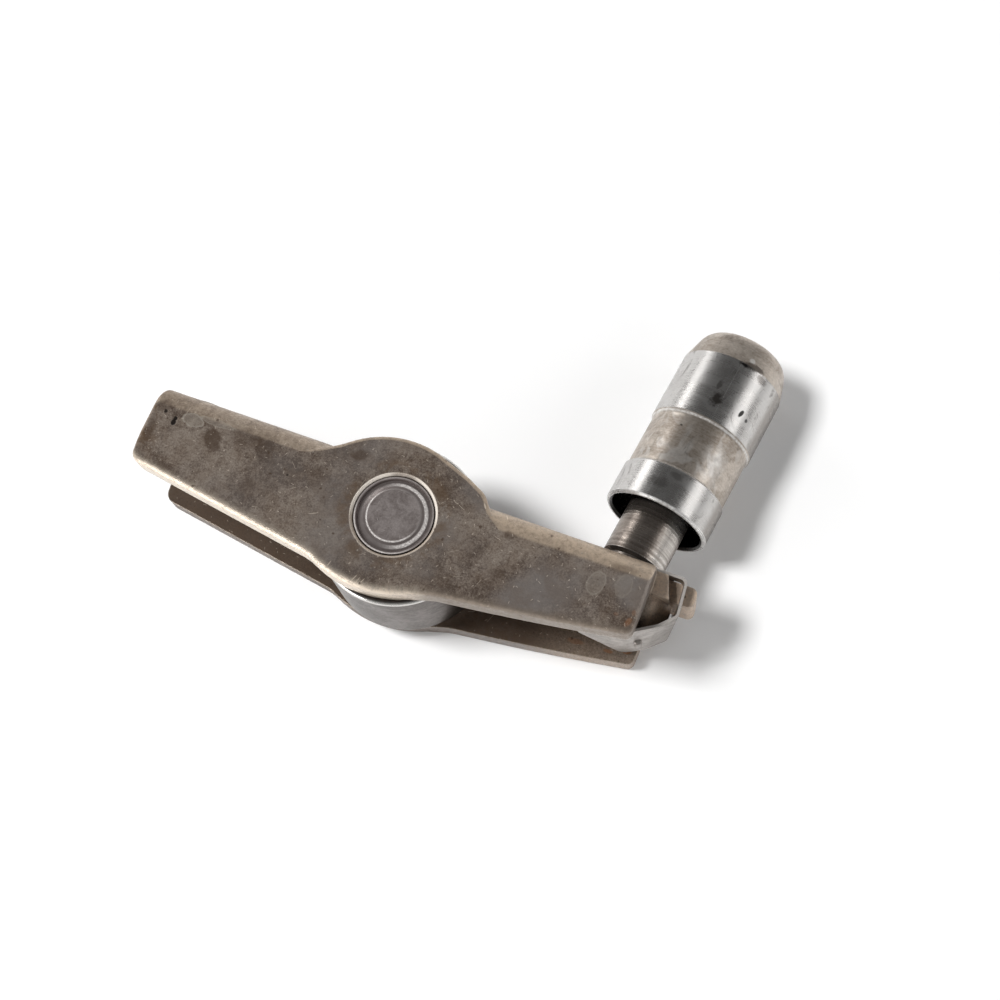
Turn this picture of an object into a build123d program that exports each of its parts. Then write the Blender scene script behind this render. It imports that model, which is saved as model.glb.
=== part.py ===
from build123d import *
import math
import os

# Roller rocker arm with its hydraulic lash adjuster, lying on its side.
#
# Millimetres, +Z up. The origin is on the roller axle's axis, on the surface that the arm
# lies on. +X runs along the arm to the pivot end, and +Y points to the side that the lash
# adjuster and the valve are on, so the cam runs on the -Y side.
#
# The adjuster's own pieces are drawn about the Z axis, as stations counted from the centre
# of the ball joint, and are then tipped into place by adjuster_plane().

# --- Arm: one folded steel stamping, a web with two cheeks --------------------------------
ARM_WIDTH = 16.5
SHEET = 2.7
MID_Z = ARM_WIDTH / 2
CHANNEL_WIDTH = ARM_WIDTH - 2 * SHEET
BEND_RADIUS = 2.6
INNER_BEND_RADIUS = 0.5
FOLD_DEPTH = 3.4
FOLD_OVERLAP = 0.7
EDGE_ROUND = 0.5

# The web's outer face, as (x, y) at both ends of each arm, and where each fold dies out.
VALVE_WEB = ((-29.35, 8.1), (-9.5, 6.45))
PIVOT_WEB = ((9.5, 3.96), (28.0, 2.43))
ROLLER_SLOT_X = 9.5
FOLD_ROOT_X = 7.5
VALVE_FOLD_X = -13.8
VALVE_BLEND = (-12.9, 2.2)
PIVOT_FOLD_X = 12.2

# The cheek's rim, anticlockwise from the end of the valve arm.
VALVE_END_LOW = (-29.97, 2.1)
VALVE_LOBE = ((-30.02, 0.9), (-30.0, -1.2))
BELLY_START = (-7.6, -6.45)
BELLY_LOWEST = (-0.2, -8.5)
BELLY_END = (3.7, -7.82)
PIVOT_RIM_START = (6.6, -7.2)
PIVOT_RIM_MIDDLE = (16.0, -6.74)
PIVOT_CORNER = (27.3, -5.85)
PIVOT_END_LOW = (27.78, -2.0)
HUB_STEP = (9.75, 3.1)
HUB_SHOULDER = (8.7, 4.75)
HUB_FLANK = ((6.6, 6.02), (3.4, 7.5))
HUB_TOP = (-1.2, 8.57)
HUB_FOOT = (-7.2, 6.75)

PAD_LENGTH = 7.0
PAD_WIDTH = 9.0
PAD_RISE = 0.5
PAD_CENTRE_X = -25.2

# --- Roller, needles and axle -------------------------------------------------------------
ROLLER_RADIUS = 9.1
ROLLER_RIM_ROUND = 0.55
BORE_CHAMFER = 0.25
SIDE_CLEARANCE = 0.3
AXLE_RADIUS = 4.0
AXLE_HOLE_CLEARANCE = 0.02
COUNTERSINK_RADIUS = 4.66
COUNTERSINK_DEPTH = 0.9
BOSS_RADIUS = 2.75
BOSS_FOOT_RADIUS = 3.3
BOSS_OFFSET = 0.15
STAKE_RADIUS = 3.8
STAKE_DEPTH = 0.5
LIP_RADIUS = 4.12
LIP_OFFSET = 0.18
NEEDLE_RADIUS = 1.0
NEEDLE_COUNT = 15
NEEDLE_END_ROUND = 0.2
RUNNING_CLEARANCE = 0.03

NEEDLE_PITCH_RADIUS = AXLE_RADIUS + RUNNING_CLEARANCE + NEEDLE_RADIUS
ROLLER_BORE_RADIUS = NEEDLE_PITCH_RADIUS + NEEDLE_RADIUS + RUNNING_CLEARANCE
ROLLER_WIDTH = CHANNEL_WIDTH - 2 * SIDE_CLEARANCE
NEEDLE_LENGTH = ROLLER_WIDTH - 0.2

# --- Ball joint and retaining clip --------------------------------------------------------
BALL = Vector(24.0, 0.0, MID_Z)
BALL_RADIUS = 3.5
SOCKET_CLEARANCE = 0.05
SOCKET_FLARE = 0.12
DOME_RADIUS = 4.5
DOME_COLLAR = 1.0
DOME_TAIL_RADIUS = 3.5
DOME_TAIL_LENGTH = 2.7
DOME_TAIL_DROP = 7.0

TONGUE_ROOT_X = 22.0
SHOULDER_THICKNESS = 2.5
SHOULDER_HALF_WIDTH = 4.3
SHOULDER_END_X = 29.2
SHOULDER_SLANT = 0.7
NOSE_THICKNESS = 2.2
NOSE_HALF_WIDTH = 2.5
NOSE_END_X = 32.5
NOSE_ROUND = 0.7

CLIP_THICKNESS = 0.3
CLIP_HALF_WIDTH = 4.05
CLIP_GAP = 0.03
CLIP_FORK_X = 19.5
CLIP_FOLD_RADIUS = 0.7
# Middle of the strip along each of its two edges, from the end plate to the tip's root.
CLIP_FAR_EDGE = ((30.25, 2.43), (30.25, -2.4), (28.2, -4.0), (26.3, -4.85))
CLIP_NEAR_EDGE = ((31.2, 2.35), (31.2, -1.7), (29.5, -3.2), (26.5, -4.75))
CLIP_TIP = (21.5, -5.45)
CLIP_TIP_HALF_WIDTH = 1.0
CLIP_TAPER_LENGTH = 4.1
CLIP_TIP_ROUND = 0.8
WINDOW_CLEARANCE = 0.2
WINDOW_HEIGHT = (-0.45, 4.0)
WINDOW_DEPTH = 2.9
FORK_HALF_WIDTH = 3.3
FORK_OFFSET = 0.9
BEAD_RADIUS = 0.45
BEAD_LENGTH = 1.6
BEAD_PLACE = (27.6, -4.35)

# --- Hydraulic lash adjuster: stations along its axis from the ball's centre --------------
ADJUSTER_LEAN = 11.6
ADJUSTER_RADIUS = 6.0
WAIST_RADIUS = 5.76
MOUTH_STATION = 9.35
MOUTH_CHAMFER = 0.25
LOWER_LAND_END = 13.7
UPPER_LAND_START = 20.65
UPPER_LAND_END = 28.5
CAP_EDGE = (5.4, 30.8)
CAP_TURN_RADIUS = 5.04
CAP_FACE_RADIUS = 4.1
CLOSED_END = 32.25
MOUTH_BORE_RADIUS = 5.35
PISTON_BORE_RADIUS = 4.75
BORE_FLOOR = 28.9
FLOOR_DISH = (2.3, 0.9)
OIL_HOLE_RADIUS = 0.8
OIL_HOLE_STATION = 16.6

GROOVE_RADIUS = 2.85
COLLAR_STATION = 4.0
COLLAR_SLOPE = 0.25
SHOULDER_STATION = 13.1
PLUNGER_END = 17.0
PLUNGER_BORE_RADIUS = 2.3
PLUNGER_BORE_STATION = 7.2
OIL_PASSAGE_RADIUS = 0.5
FEED_GROOVE = (14.4, 15.8)
FEED_GROOVE_RADIUS = 4.35
FEED_HOLE_RADIUS = 0.6
PISTON_RADIUS = 4.70
PISTON_EDGE = 0.3
PISTON_FIT = 0.02
PISTON_CUP_RADIUS = 2.6
PISTON_END = 22.5
SEAT_HOLE_RADIUS = 0.9
SEAT_LENGTH = 1.2
CHECK_BALL_RADIUS = 1.3
CAGE_END = 26.3
CAGE_RADIUS = 1.95
CAGE_FLANGE_RADIUS = 4.3
CAGE_SHEET = 0.25
CAGE_WINDOW = (0.9, 1.6)
RING_STATION = 12.4
RING_THICKNESS = 0.65
RING_INNER_RADIUS = 3.75
RING_GROOVE_RADIUS = 5.55
RING_FIT = 0.05
RING_GAP = 0.8
RETURN_WIRE_RADIUS = 0.4
RETURN_COIL_RADIUS = 3.6
RETURN_TURNS = 4.5
CHECK_WIRE_RADIUS = 0.12
CHECK_COIL_RADIUS = 1.15
CHECK_TURNS = 3

# The adjuster hangs in its socket until its upper land touches the surface it lies on.
_reach = math.hypot(UPPER_LAND_END, ADJUSTER_RADIUS)
DROOP = math.asin(MID_Z / _reach) - math.atan2(ADJUSTER_RADIUS, UPPER_LAND_END)
_lean = math.radians(ADJUSTER_LEAN)
ADJUSTER_AXIS = Vector(
    math.sin(_lean) * math.cos(DROOP), math.cos(_lean) * math.cos(DROOP), -math.sin(DROOP)
)


# --- Shared helpers -----------------------------------------------------------------------
def prism(face, z_low, z_high):
    """Extrude a face drawn in XY between two heights."""
    return extrude(Pos(0, 0, z_low) * face, z_high - z_low, dir=(0, 0, 1))


def polygon(points):
    """Closed face through the given corners."""
    return make_face(Polyline(*points, close=True))


def rounded(face, corners):
    """Round the face's corners that lie nearest to the given (x, y, radius) places."""
    for x, y, radius in corners:
        corner = face.vertices().sort_by_distance((x, y, 0))[0]
        face = fillet(corner, radius)
    return face


def turned(points):
    """Solid of revolution about Z through (radius, station) corners."""
    return revolve(Plane.XZ * polygon(points), Axis.Z)


def ring_about_z(inner, outer, z_low, z_high):
    """Plain tube about the Z axis."""
    return prism(Circle(outer) - Circle(inner), z_low, z_high)


def rims(solid, smallest=0.0, largest=math.inf):
    """Circular edges of a turned solid between two radii."""
    circles = solid.edges().filter_by(GeomType.CIRCLE)
    return [edge for edge in circles if smallest < edge.radius < largest]


def on_line(line, x):
    """Y at X on the straight line through two points."""
    (x0, y0), (x1, y1) = line
    return y0 + (y1 - y0) * (x - x0) / (x1 - x0)


def under_web(web, x, depth):
    """Point at X, at a depth below one arm's web."""
    return x, on_line(web, x) - depth


def web_top(x):
    """Y of the web's outer face at X on the pivot arm."""
    return on_line(PIVOT_WEB, x)


def down_end(end_line, depth):
    """Point on a cheek's end, at a depth below the web's outer face."""
    (x0, y0), (x1, y1) = end_line
    return x0 + (x1 - x0) * depth / (y0 - y1), y0 - depth


def adjuster_plane():
    """Local frame of the lash adjuster, with Z along its axis."""
    side = ADJUSTER_AXIS.cross(Vector(0, 0, 1)).normalized()
    return Plane(origin=BALL, x_dir=side, z_dir=ADJUSTER_AXIS)


# --- Arm body -----------------------------------------------------------------------------
VALVE_END = (VALVE_WEB[0], VALVE_END_LOW)
PIVOT_END = (PIVOT_WEB[1], PIVOT_END_LOW)


def covered_runs():
    """The two chains of corners where the cheek's outline lies inside the folds."""
    valve_run = [
        under_web(VALVE_WEB, *VALVE_BLEND),
        under_web(VALVE_WEB, VALVE_FOLD_X, FOLD_DEPTH),
        down_end(VALVE_END, FOLD_DEPTH),
    ]
    pivot_run = [
        down_end(PIVOT_END, FOLD_DEPTH),
        under_web(PIVOT_WEB, PIVOT_FOLD_X, FOLD_DEPTH),
        under_web(PIVOT_WEB, PIVOT_FOLD_X, BEND_RADIUS),
    ]
    return valve_run, pivot_run


def cheek_outline():
    """Side view of one cheek: two arms that swell into the hub round the axle.

    Along both arms the outline stays inside the folds, which channel() adds.
    """
    valve_run, pivot_run = covered_runs()
    with BuildLine() as line:
        Polyline(*valve_run, VALVE_END_LOW, *VALVE_LOBE, BELLY_START)
        ThreePointArc(BELLY_START, BELLY_LOWEST, BELLY_END)
        Line(BELLY_END, PIVOT_RIM_START)
        ThreePointArc(PIVOT_RIM_START, PIVOT_RIM_MIDDLE, PIVOT_CORNER)
        Polyline(PIVOT_CORNER, PIVOT_END_LOW, *pivot_run, HUB_STEP, HUB_SHOULDER, *HUB_FLANK)
        crown = ThreePointArc(HUB_FLANK[1], HUB_TOP, HUB_FOOT)
        TangentArc(HUB_FOOT, valve_run[0], tangent=crown % 1)
    corners = [
        (*VALVE_END_LOW, 0.5), (*VALVE_LOBE[0], 1.2), (*VALVE_LOBE[1], 1.3), (*BELLY_START, 6.0),
        (*BELLY_END, 6.0), (*PIVOT_RIM_START, 6.0), (*PIVOT_CORNER, 0.8), (*PIVOT_END_LOW, 5.0),
        (*HUB_SHOULDER, 2.4), (*HUB_FLANK[0], 3.0), (*HUB_FLANK[1], 6.0),
    ]
    return rounded(make_face(line.line), corners)


def free_rim(plate, outer_is_top):
    """Edges of the plate's outer face that stay free once the folds are joined on."""
    faces = plate.faces().sort_by(Axis.Z)
    outer_face = faces[-1] if outer_is_top else faces[0]
    covered = [
        Vector((x0 + x1) / 2, (y0 + y1) / 2, outer_face.center().Z)
        for run in covered_runs() for (x0, y0), (x1, y1) in zip(run, run[1:])
    ]
    reach = 0.5
    return [
        edge for edge in outer_face.outer_wire().edges()
        if min((edge.position_at(0.5) - middle).length for middle in covered) > reach
    ]


def cheek(z_low, outer_is_top):
    """One cheek plate with the outer face's rim rounded as a blanked edge is."""
    plate = prism(cheek_outline(), z_low, z_low + SHEET)
    return fillet(free_rim(plate, outer_is_top), EDGE_ROUND)


def fold_edges(block):
    """The two long edges of a channel block that lie furthest to +Y."""
    long_edges = [e for e in block.edges() if e.length > 8 and abs(e.tangent_at(0.5).Z) < 0.01]
    return sorted(long_edges, key=lambda e: e.center().Y)[-2:]


def channel_block(web, end_line, root_x):
    """Solid block of one arm, bent round its outside corners and rounded at its end."""
    depth = FOLD_DEPTH + FOLD_OVERLAP
    side_view = polygon([
        end_line[0], under_web(web, root_x, 0), under_web(web, root_x, depth), down_end(end_line, depth)
    ])
    block = fillet(fold_edges(prism(side_view, 0, ARM_WIDTH)), BEND_RADIUS)
    end_face = block.faces().sort_by(lambda face: abs(face.center().X))[-1]
    end_rim = end_face.edges().sort_by(Axis.Y)[1:]
    return fillet(end_rim, EDGE_ROUND)


def channel_space(web):
    """Space between the cheeks below one arm's web, with its inner bends rounded."""
    reach = 1.0
    bottom = -9.0
    left, right = web[0][0] - reach, web[1][0] + reach
    side_view = polygon([
        under_web(web, left, SHEET), under_web(web, right, SHEET), (right, bottom), (left, bottom)
    ])
    return fillet(fold_edges(prism(side_view, SHEET, ARM_WIDTH - SHEET)), INNER_BEND_RADIUS)


def roller_slot():
    """Slot through the web that the roller runs in."""
    return Pos(0, 0, MID_Z) * Box(2 * ROLLER_SLOT_X, 3 * ROLLER_RADIUS, CHANNEL_WIDTH)


def channels():
    """Web and folds of both arms, apart at the roller's slot."""
    valve = channel_block(VALVE_WEB, VALVE_END, -FOLD_ROOT_X) - channel_space(VALVE_WEB)
    pivot = channel_block(PIVOT_WEB, PIVOT_END, FOLD_ROOT_X) - channel_space(PIVOT_WEB)
    return (valve - roller_slot()) + (pivot - roller_slot())


def web_strip(end_x, slant, thickness, half_width):
    """Length of the web that runs on past the cheeks, to an end that may slant."""
    low_end_x = end_x + slant
    side_view = polygon([
        (TONGUE_ROOT_X, web_top(TONGUE_ROOT_X)), (end_x, web_top(end_x)),
        (low_end_x, web_top(low_end_x) - thickness),
        (TONGUE_ROOT_X, web_top(TONGUE_ROOT_X) - thickness),
    ])
    return prism(side_view, MID_Z - half_width, MID_Z + half_width)


def tongue():
    """Two shoulders past the cheeks, and the narrower nose that holds the clip."""
    shoulders = web_strip(SHOULDER_END_X, SHOULDER_SLANT, SHOULDER_THICKNESS, SHOULDER_HALF_WIDTH)
    nose = web_strip(NOSE_END_X, 0, NOSE_THICKNESS, NOSE_HALF_WIDTH)
    nose_end = nose.edges().filter_by(Axis.Z).sort_by(Axis.X)[-2:]
    return shoulders + fillet(nose_end, NOSE_ROUND)


def dome_tail():
    """Narrower end of the dome, which runs out under the tongue."""
    tail, length = DOME_TAIL_RADIUS, DOME_TAIL_LENGTH
    lean = math.asin((DOME_RADIUS - tail) / length)
    along, across = math.sin(lean), math.cos(lean)
    cone = turned([
        (0, 0), (DOME_RADIUS * across, DOME_RADIUS * along), (tail * across, length + tail * along),
        (0, length),
    ])
    return Rot(0, 0, -DOME_TAIL_DROP) * Rot(0, 90, 0) * (cone + Pos(0, 0, length) * Sphere(tail))


def socket_dome():
    """Cup pressed in the web: the ball of the lash adjuster seats in it."""
    radius = DOME_RADIUS
    above = Pos(0, radius, 0) * Box(5 * radius, 2 * radius, 3 * radius)
    half_dome = Sphere(radius) + dome_tail() - above
    collar = Rot(90, 0, 0) * Cylinder(
        radius, DOME_COLLAR, align=(Align.CENTER, Align.CENTER, Align.MAX)
    )
    return Pos(*BALL) * (half_dome + collar)


def socket_cavity():
    """Half a ball, opening in a flare so that the plunger can lean."""
    radius = BALL_RADIUS + SOCKET_CLEARANCE
    depth = web_top(BALL.X) + 1.0
    flare = turned([(0, 0), (radius, 0), (radius + SOCKET_FLARE * depth, depth), (0, depth)])
    return Pos(*BALL) * (Sphere(radius) + Rot(-90, 0, 0) * flare)


def valve_pad():
    """Crowned pad, raised on the web's outer face, that bears on the valve stem."""
    crown_radius = (PAD_LENGTH / 2) ** 2 / (2 * PAD_RISE) + PAD_RISE / 2
    (x0, y0), (x1, y1) = VALVE_WEB
    slope = math.degrees(math.atan2(y1 - y0, x1 - x0))
    disc = Pos(0, PAD_RISE - crown_radius, 0) * Circle(crown_radius)
    crown = disc & (Pos(0, PAD_RISE / 2, 0) * Rectangle(PAD_LENGTH, 2 * PAD_RISE))
    face = Pos(PAD_CENTRE_X, on_line(VALVE_WEB, PAD_CENTRE_X), 0) * Rot(0, 0, slope) * crown
    return prism(face, MID_Z - PAD_WIDTH / 2, MID_Z + PAD_WIDTH / 2)


def axle_hole():
    """Bore through both cheeks, countersunk outside for the staked axle ends."""
    bore = AXLE_RADIUS + AXLE_HOLE_CLEARANCE
    top = ARM_WIDTH
    step = COUNTERSINK_DEPTH
    return turned([
        (0, 0), (COUNTERSINK_RADIUS, 0), (bore, step),
        (bore, top - step), (COUNTERSINK_RADIUS, top), (0, top),
    ])


def arm_body():
    """The whole stamping: cheeks, channels, tongue, socket and valve pad."""
    body = cheek(0, outer_is_top=False) + cheek(ARM_WIDTH - SHEET, outer_is_top=True)
    body = body + channels() + tongue() + socket_dome() + valve_pad()
    return body - socket_cavity() - axle_hole()


# --- Roller and its bearing ---------------------------------------------------------------
def axle_pin():
    """Axle with a ring staked into each end, which spreads its lip in the countersink."""
    top = ARM_WIDTH
    half = [
        (0, BOSS_OFFSET), (BOSS_RADIUS, BOSS_OFFSET), (BOSS_FOOT_RADIUS, STAKE_DEPTH),
        (STAKE_RADIUS, STAKE_DEPTH), (AXLE_RADIUS, LIP_OFFSET), (LIP_RADIUS, LIP_OFFSET),
        (AXLE_RADIUS, COUNTERSINK_DEPTH),
    ]
    mirrored = [(radius, top - z) for radius, z in reversed(half)]
    return turned(half + mirrored)


def roller():
    """Outer ring that the cam runs on, with rounded rims and a chamfered bore."""
    low = MID_Z - ROLLER_WIDTH / 2
    ring = ring_about_z(ROLLER_BORE_RADIUS, ROLLER_RADIUS, low, low + ROLLER_WIDTH)
    halfway = (ROLLER_BORE_RADIUS + ROLLER_RADIUS) / 2
    ring = fillet(rims(ring, smallest=halfway), ROLLER_RIM_ROUND)
    return chamfer(rims(ring, largest=halfway), BORE_CHAMFER)


def needle(index):
    """One needle of the full row between the axle and the roller."""
    pin = Cylinder(NEEDLE_RADIUS, NEEDLE_LENGTH)
    pin = fillet(rims(pin), NEEDLE_END_ROUND)
    return Rot(0, 0, 360 * index / NEEDLE_COUNT) * Pos(NEEDLE_PITCH_RADIUS, 0, MID_Z) * pin


# --- Retaining clip -----------------------------------------------------------------------
def clip_side_view(edge_points):
    """Side view of the clip along one edge: fork leg, end plate and cam-side leg."""
    fork_end = (CLIP_FORK_X, web_top(CLIP_FORK_X) + CLIP_GAP + CLIP_THICKNESS / 2)
    spine = FilletPolyline(fork_end, *edge_points, CLIP_TIP, radius=CLIP_FOLD_RADIUS)
    return trace(spine, CLIP_THICKNESS)


def clip_strip():
    """Spring strip folded round the tongue and the dome, a little twisted at its end."""
    far_edge = Pos(0, 0, MID_Z - CLIP_HALF_WIDTH) * clip_side_view(CLIP_FAR_EDGE)
    near_edge = Pos(0, 0, MID_Z + CLIP_HALF_WIDTH) * clip_side_view(CLIP_NEAR_EDGE)
    return loft([far_edge, near_edge], ruled=True)


def plan_cut(face, height):
    """Prism of a face drawn in plan, with +Y up from it, about the middle of the width."""
    return Pos(0, 0, MID_Z) * extrude(Plane.XZ * face, height, dir=(0, 1, 0))


def fork_slot():
    """Open slot in the adjuster-side leg that grips the plunger's groove."""
    centre_x = BALL.X + FORK_OFFSET
    length = 10.0
    throat = Pos(centre_x - length / 2, 0) * Rectangle(length, 2 * FORK_HALF_WIDTH)
    return plan_cut(Pos(centre_x, 0) * Circle(FORK_HALF_WIDTH) + throat, 6)


def nose_window():
    """Window round the fold: the tongue's nose comes through it."""
    low, high = WINDOW_HEIGHT
    centre_x = (CLIP_FAR_EDGE[0][0] + CLIP_NEAR_EDGE[0][0]) / 2 + 0.5
    width = 2 * (NOSE_HALF_WIDTH + WINDOW_CLEARANCE)
    window = Pos(centre_x, (low + high) / 2, MID_Z) * Box(WINDOW_DEPTH, high - low, width)
    return fillet(window.edges().filter_by(Axis.X).group_by(Axis.Y)[0], 0.5)


def tip_trim():
    """What is cut away on the far side to narrow the cam-side leg to its rounded tip."""
    tip_x = CLIP_TIP[0]
    half = CLIP_HALF_WIDTH
    inner_z = half - 2 * CLIP_TIP_HALF_WIDTH
    kept = polygon([
        (tip_x, inner_z), (tip_x, half), (tip_x + 2 * half, half), (tip_x + 2 * half, -half),
        (tip_x + CLIP_TAPER_LENGTH, -half),
    ])
    kept = rounded(kept, [(tip_x, inner_z, CLIP_TIP_ROUND), (tip_x, half, CLIP_TIP_ROUND)])
    around = Pos(tip_x + half - 1, 0) * Rectangle(2 * half, 3 * half)
    return Pos(0, -8, 0) * plan_cut(around - kept, 8)


def snap_bead():
    """Pressed bead on the cam-side leg that the clip is pushed home by."""
    bead = Cylinder(BEAD_RADIUS, BEAD_LENGTH)
    bead = fillet(rims(bead), BEAD_RADIUS / 2)
    return Pos(*BEAD_PLACE, MID_Z - BEAD_LENGTH / 2) * bead


def retaining_clip():
    """Spring clip: fork, windowed end plate and a leg over the dome."""
    return clip_strip() - fork_slot() - nose_window() - tip_trim() + snap_bead()


# --- Lash adjuster ------------------------------------------------------------------------
def ball_plunger():
    """Upper plunger: ball end, clip groove, neck and guided skirt, bored for oil."""
    skirt, edge = PISTON_RADIUS, PISTON_EDGE
    outline = [
        (0, 0), (GROOVE_RADIUS, 0), (GROOVE_RADIUS, COLLAR_STATION - COLLAR_SLOPE),
        (BALL_RADIUS, COLLAR_STATION), (BALL_RADIUS, SHOULDER_STATION),
        (skirt - edge, SHOULDER_STATION), (skirt, SHOULDER_STATION + edge),
        (skirt, PLUNGER_END - edge), (skirt - edge, PLUNGER_END), (0, PLUNGER_END),
    ]
    beyond = PLUNGER_END + 1
    bore = [
        (0, PLUNGER_BORE_STATION - 1), (PLUNGER_BORE_RADIUS, PLUNGER_BORE_STATION),
        (PLUNGER_BORE_RADIUS, beyond), (0, beyond),
    ]
    passage = Pos(0, 0, 2) * Cylinder(OIL_PASSAGE_RADIUS, 14)
    low, high = FEED_GROOVE
    feed_groove = ring_about_z(FEED_GROOVE_RADIUS, skirt + 1, low, high)
    feed_hole = Pos(0, 0, (low + high) / 2) * Rot(90, 0, 0) * Cylinder(FEED_HOLE_RADIUS, 12)
    return Sphere(BALL_RADIUS) + turned(outline) - turned(bore) - passage - feed_groove - feed_hole


def lower_piston():
    """Lower piston: cup with the check valve's seat in its floor."""
    top = PLUNGER_END + PISTON_FIT
    wall, edge = PISTON_RADIUS, PISTON_EDGE
    return turned([
        (PISTON_CUP_RADIUS, top), (wall - edge, top), (wall, top + edge), (wall, PISTON_END - edge),
        (wall - edge, PISTON_END), (SEAT_HOLE_RADIUS, PISTON_END),
        (SEAT_HOLE_RADIUS, PISTON_END - SEAT_LENGTH), (PISTON_CUP_RADIUS, PISTON_END - 2),
    ])


def seated_ball_station():
    """Station of the check ball's centre when it rests on its seat."""
    rise = math.sqrt(CHECK_BALL_RADIUS ** 2 - SEAT_HOLE_RADIUS ** 2)
    return PISTON_END + rise + PISTON_FIT


def check_ball():
    """Ball that closes the hole in the lower piston."""
    return Pos(0, 0, seated_ball_station()) * Sphere(CHECK_BALL_RADIUS)


def check_ball_cage():
    """Pressed cage under the piston, with four oil windows in its wall."""
    top = PISTON_END + PISTON_FIT
    wall, sheet = CAGE_RADIUS, CAGE_SHEET
    cage = turned([
        (wall - sheet, top), (CAGE_FLANGE_RADIUS, top), (CAGE_FLANGE_RADIUS, top + sheet),
        (wall, top + sheet), (wall, CAGE_END), (2 * sheet, CAGE_END),
        (2 * sheet, CAGE_END - sheet), (wall - sheet, CAGE_END - sheet),
    ])
    width, height = CAGE_WINDOW
    window = Pos(0, 0, CAGE_END - sheet - height) * Box(3 * wall, width, height)
    for turn in (0, 90):
        cage = cage - Rot(0, 0, turn) * window
    return cage


def coil(wire_radius, coil_radius, start, end, turns):
    """Helical spring that fills the space between two stations."""
    height = end - start - 2 * wire_radius
    path = Helix(height / turns, height, coil_radius)
    section = Plane(origin=path @ 0, z_dir=path % 0) * Circle(wire_radius)
    return Pos(0, 0, start + wire_radius) * sweep(section, path, is_frenet=True)


def return_spring():
    """Spring that pushes the pistons towards the ball."""
    start = PISTON_END + CAGE_SHEET + RING_FIT
    return coil(RETURN_WIRE_RADIUS, RETURN_COIL_RADIUS, start, BORE_FLOOR - PISTON_FIT, RETURN_TURNS)


def check_ball_spring():
    """Light spring that holds the check ball on its seat."""
    start = seated_ball_station() + CHECK_BALL_RADIUS - 0.3
    end = CAGE_END - CAGE_SHEET - PISTON_FIT
    return coil(CHECK_WIRE_RADIUS, CHECK_COIL_RADIUS, start, end, CHECK_TURNS)


def retaining_ring():
    """Snap ring in the adjuster's mouth that keeps the plunger in."""
    outer = RING_GROOVE_RADIUS - RING_FIT
    ring = ring_about_z(RING_INNER_RADIUS, outer, RING_STATION, RING_STATION + RING_THICKNESS)
    gap = Pos(0, -(RING_INNER_RADIUS + outer) / 2, RING_STATION) * Box(RING_GAP, 2.6, 3)
    return ring - gap


def adjuster_body():
    """Closed cylinder with two ground lands, an oil waist and a chamfered closed end."""
    land, waist, chamfer_size = ADJUSTER_RADIUS, WAIST_RADIUS, MOUTH_CHAMFER
    groove_low, groove_high = RING_STATION - RING_FIT, RING_STATION + RING_THICKNESS + RING_FIT
    dish_radius, dish_depth = FLOOR_DISH
    with BuildLine() as line:
        outside = Polyline(
            (MOUTH_BORE_RADIUS + chamfer_size, MOUTH_STATION), (land - chamfer_size, MOUTH_STATION),
            (land, MOUTH_STATION + chamfer_size), (land, LOWER_LAND_END),
            (waist, LOWER_LAND_END + 0.2), (waist, UPPER_LAND_START - 0.4),
            (land, UPPER_LAND_START), (land, UPPER_LAND_END), CAP_EDGE,
        )
        Bezier(CAP_EDGE, (CAP_TURN_RADIUS, CLOSED_END), (CAP_FACE_RADIUS, CLOSED_END))
        Polyline(
            (CAP_FACE_RADIUS, CLOSED_END), (0, CLOSED_END), (0, BORE_FLOOR + dish_depth),
            (dish_radius, BORE_FLOOR + dish_depth / 2), (dish_radius, BORE_FLOOR),
            (PISTON_BORE_RADIUS, BORE_FLOOR), (PISTON_BORE_RADIUS, groove_high),
            (RING_GROOVE_RADIUS, groove_high), (RING_GROOVE_RADIUS, groove_low),
            (MOUTH_BORE_RADIUS, groove_low), (MOUTH_BORE_RADIUS, MOUTH_STATION + chamfer_size),
            outside @ 0,
        )
    shell = revolve(Plane.XZ * make_face(line.line), Axis.Z)
    oil_hole = Pos(0, land, OIL_HOLE_STATION) * Rot(90, 0, 0) * Cylinder(OIL_HOLE_RADIUS, 4)
    return shell - oil_hole


# --- Assembly -----------------------------------------------------------------------------
def all_parts():
    """Every sub-part in place, by node name."""
    adjuster = adjuster_plane().location
    parts = {
        "arm_body": arm_body(),
        "axle_pin": axle_pin(),
        "roller": roller(),
        "retaining_clip": retaining_clip(),
        "ball_plunger": adjuster * ball_plunger(),
        "lower_piston": adjuster * lower_piston(),
        "check_ball": adjuster * check_ball(),
        "check_ball_cage": adjuster * check_ball_cage(),
        "check_ball_spring": adjuster * check_ball_spring(),
        "return_spring": adjuster * return_spring(),
        "retaining_ring": adjuster * retaining_ring(),
        "adjuster_body": adjuster * adjuster_body(),
    }
    for index in range(NEEDLE_COUNT):
        parts[f"needle_{index + 1:02d}"] = needle(index)
    return parts


def main():
    """Write every sub-part as a STEP file of its own."""
    os.makedirs("parts", exist_ok=True)
    for name, part in all_parts().items():
        export_step(part, f"parts/{name}.step")


main()
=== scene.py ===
"""Roller rocker arm with its hydraulic lash adjuster, dressed and lit for a studio view.

Lengths in the finishes are in millimetres, because each material turns its Object
coordinates into millimetres first. Everything that is built or placed is in metres.
"""

import logging
import math
from dataclasses import dataclass, field
from enum import Enum

import bmesh
import bpy
from mathutils import Matrix, Vector


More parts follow.
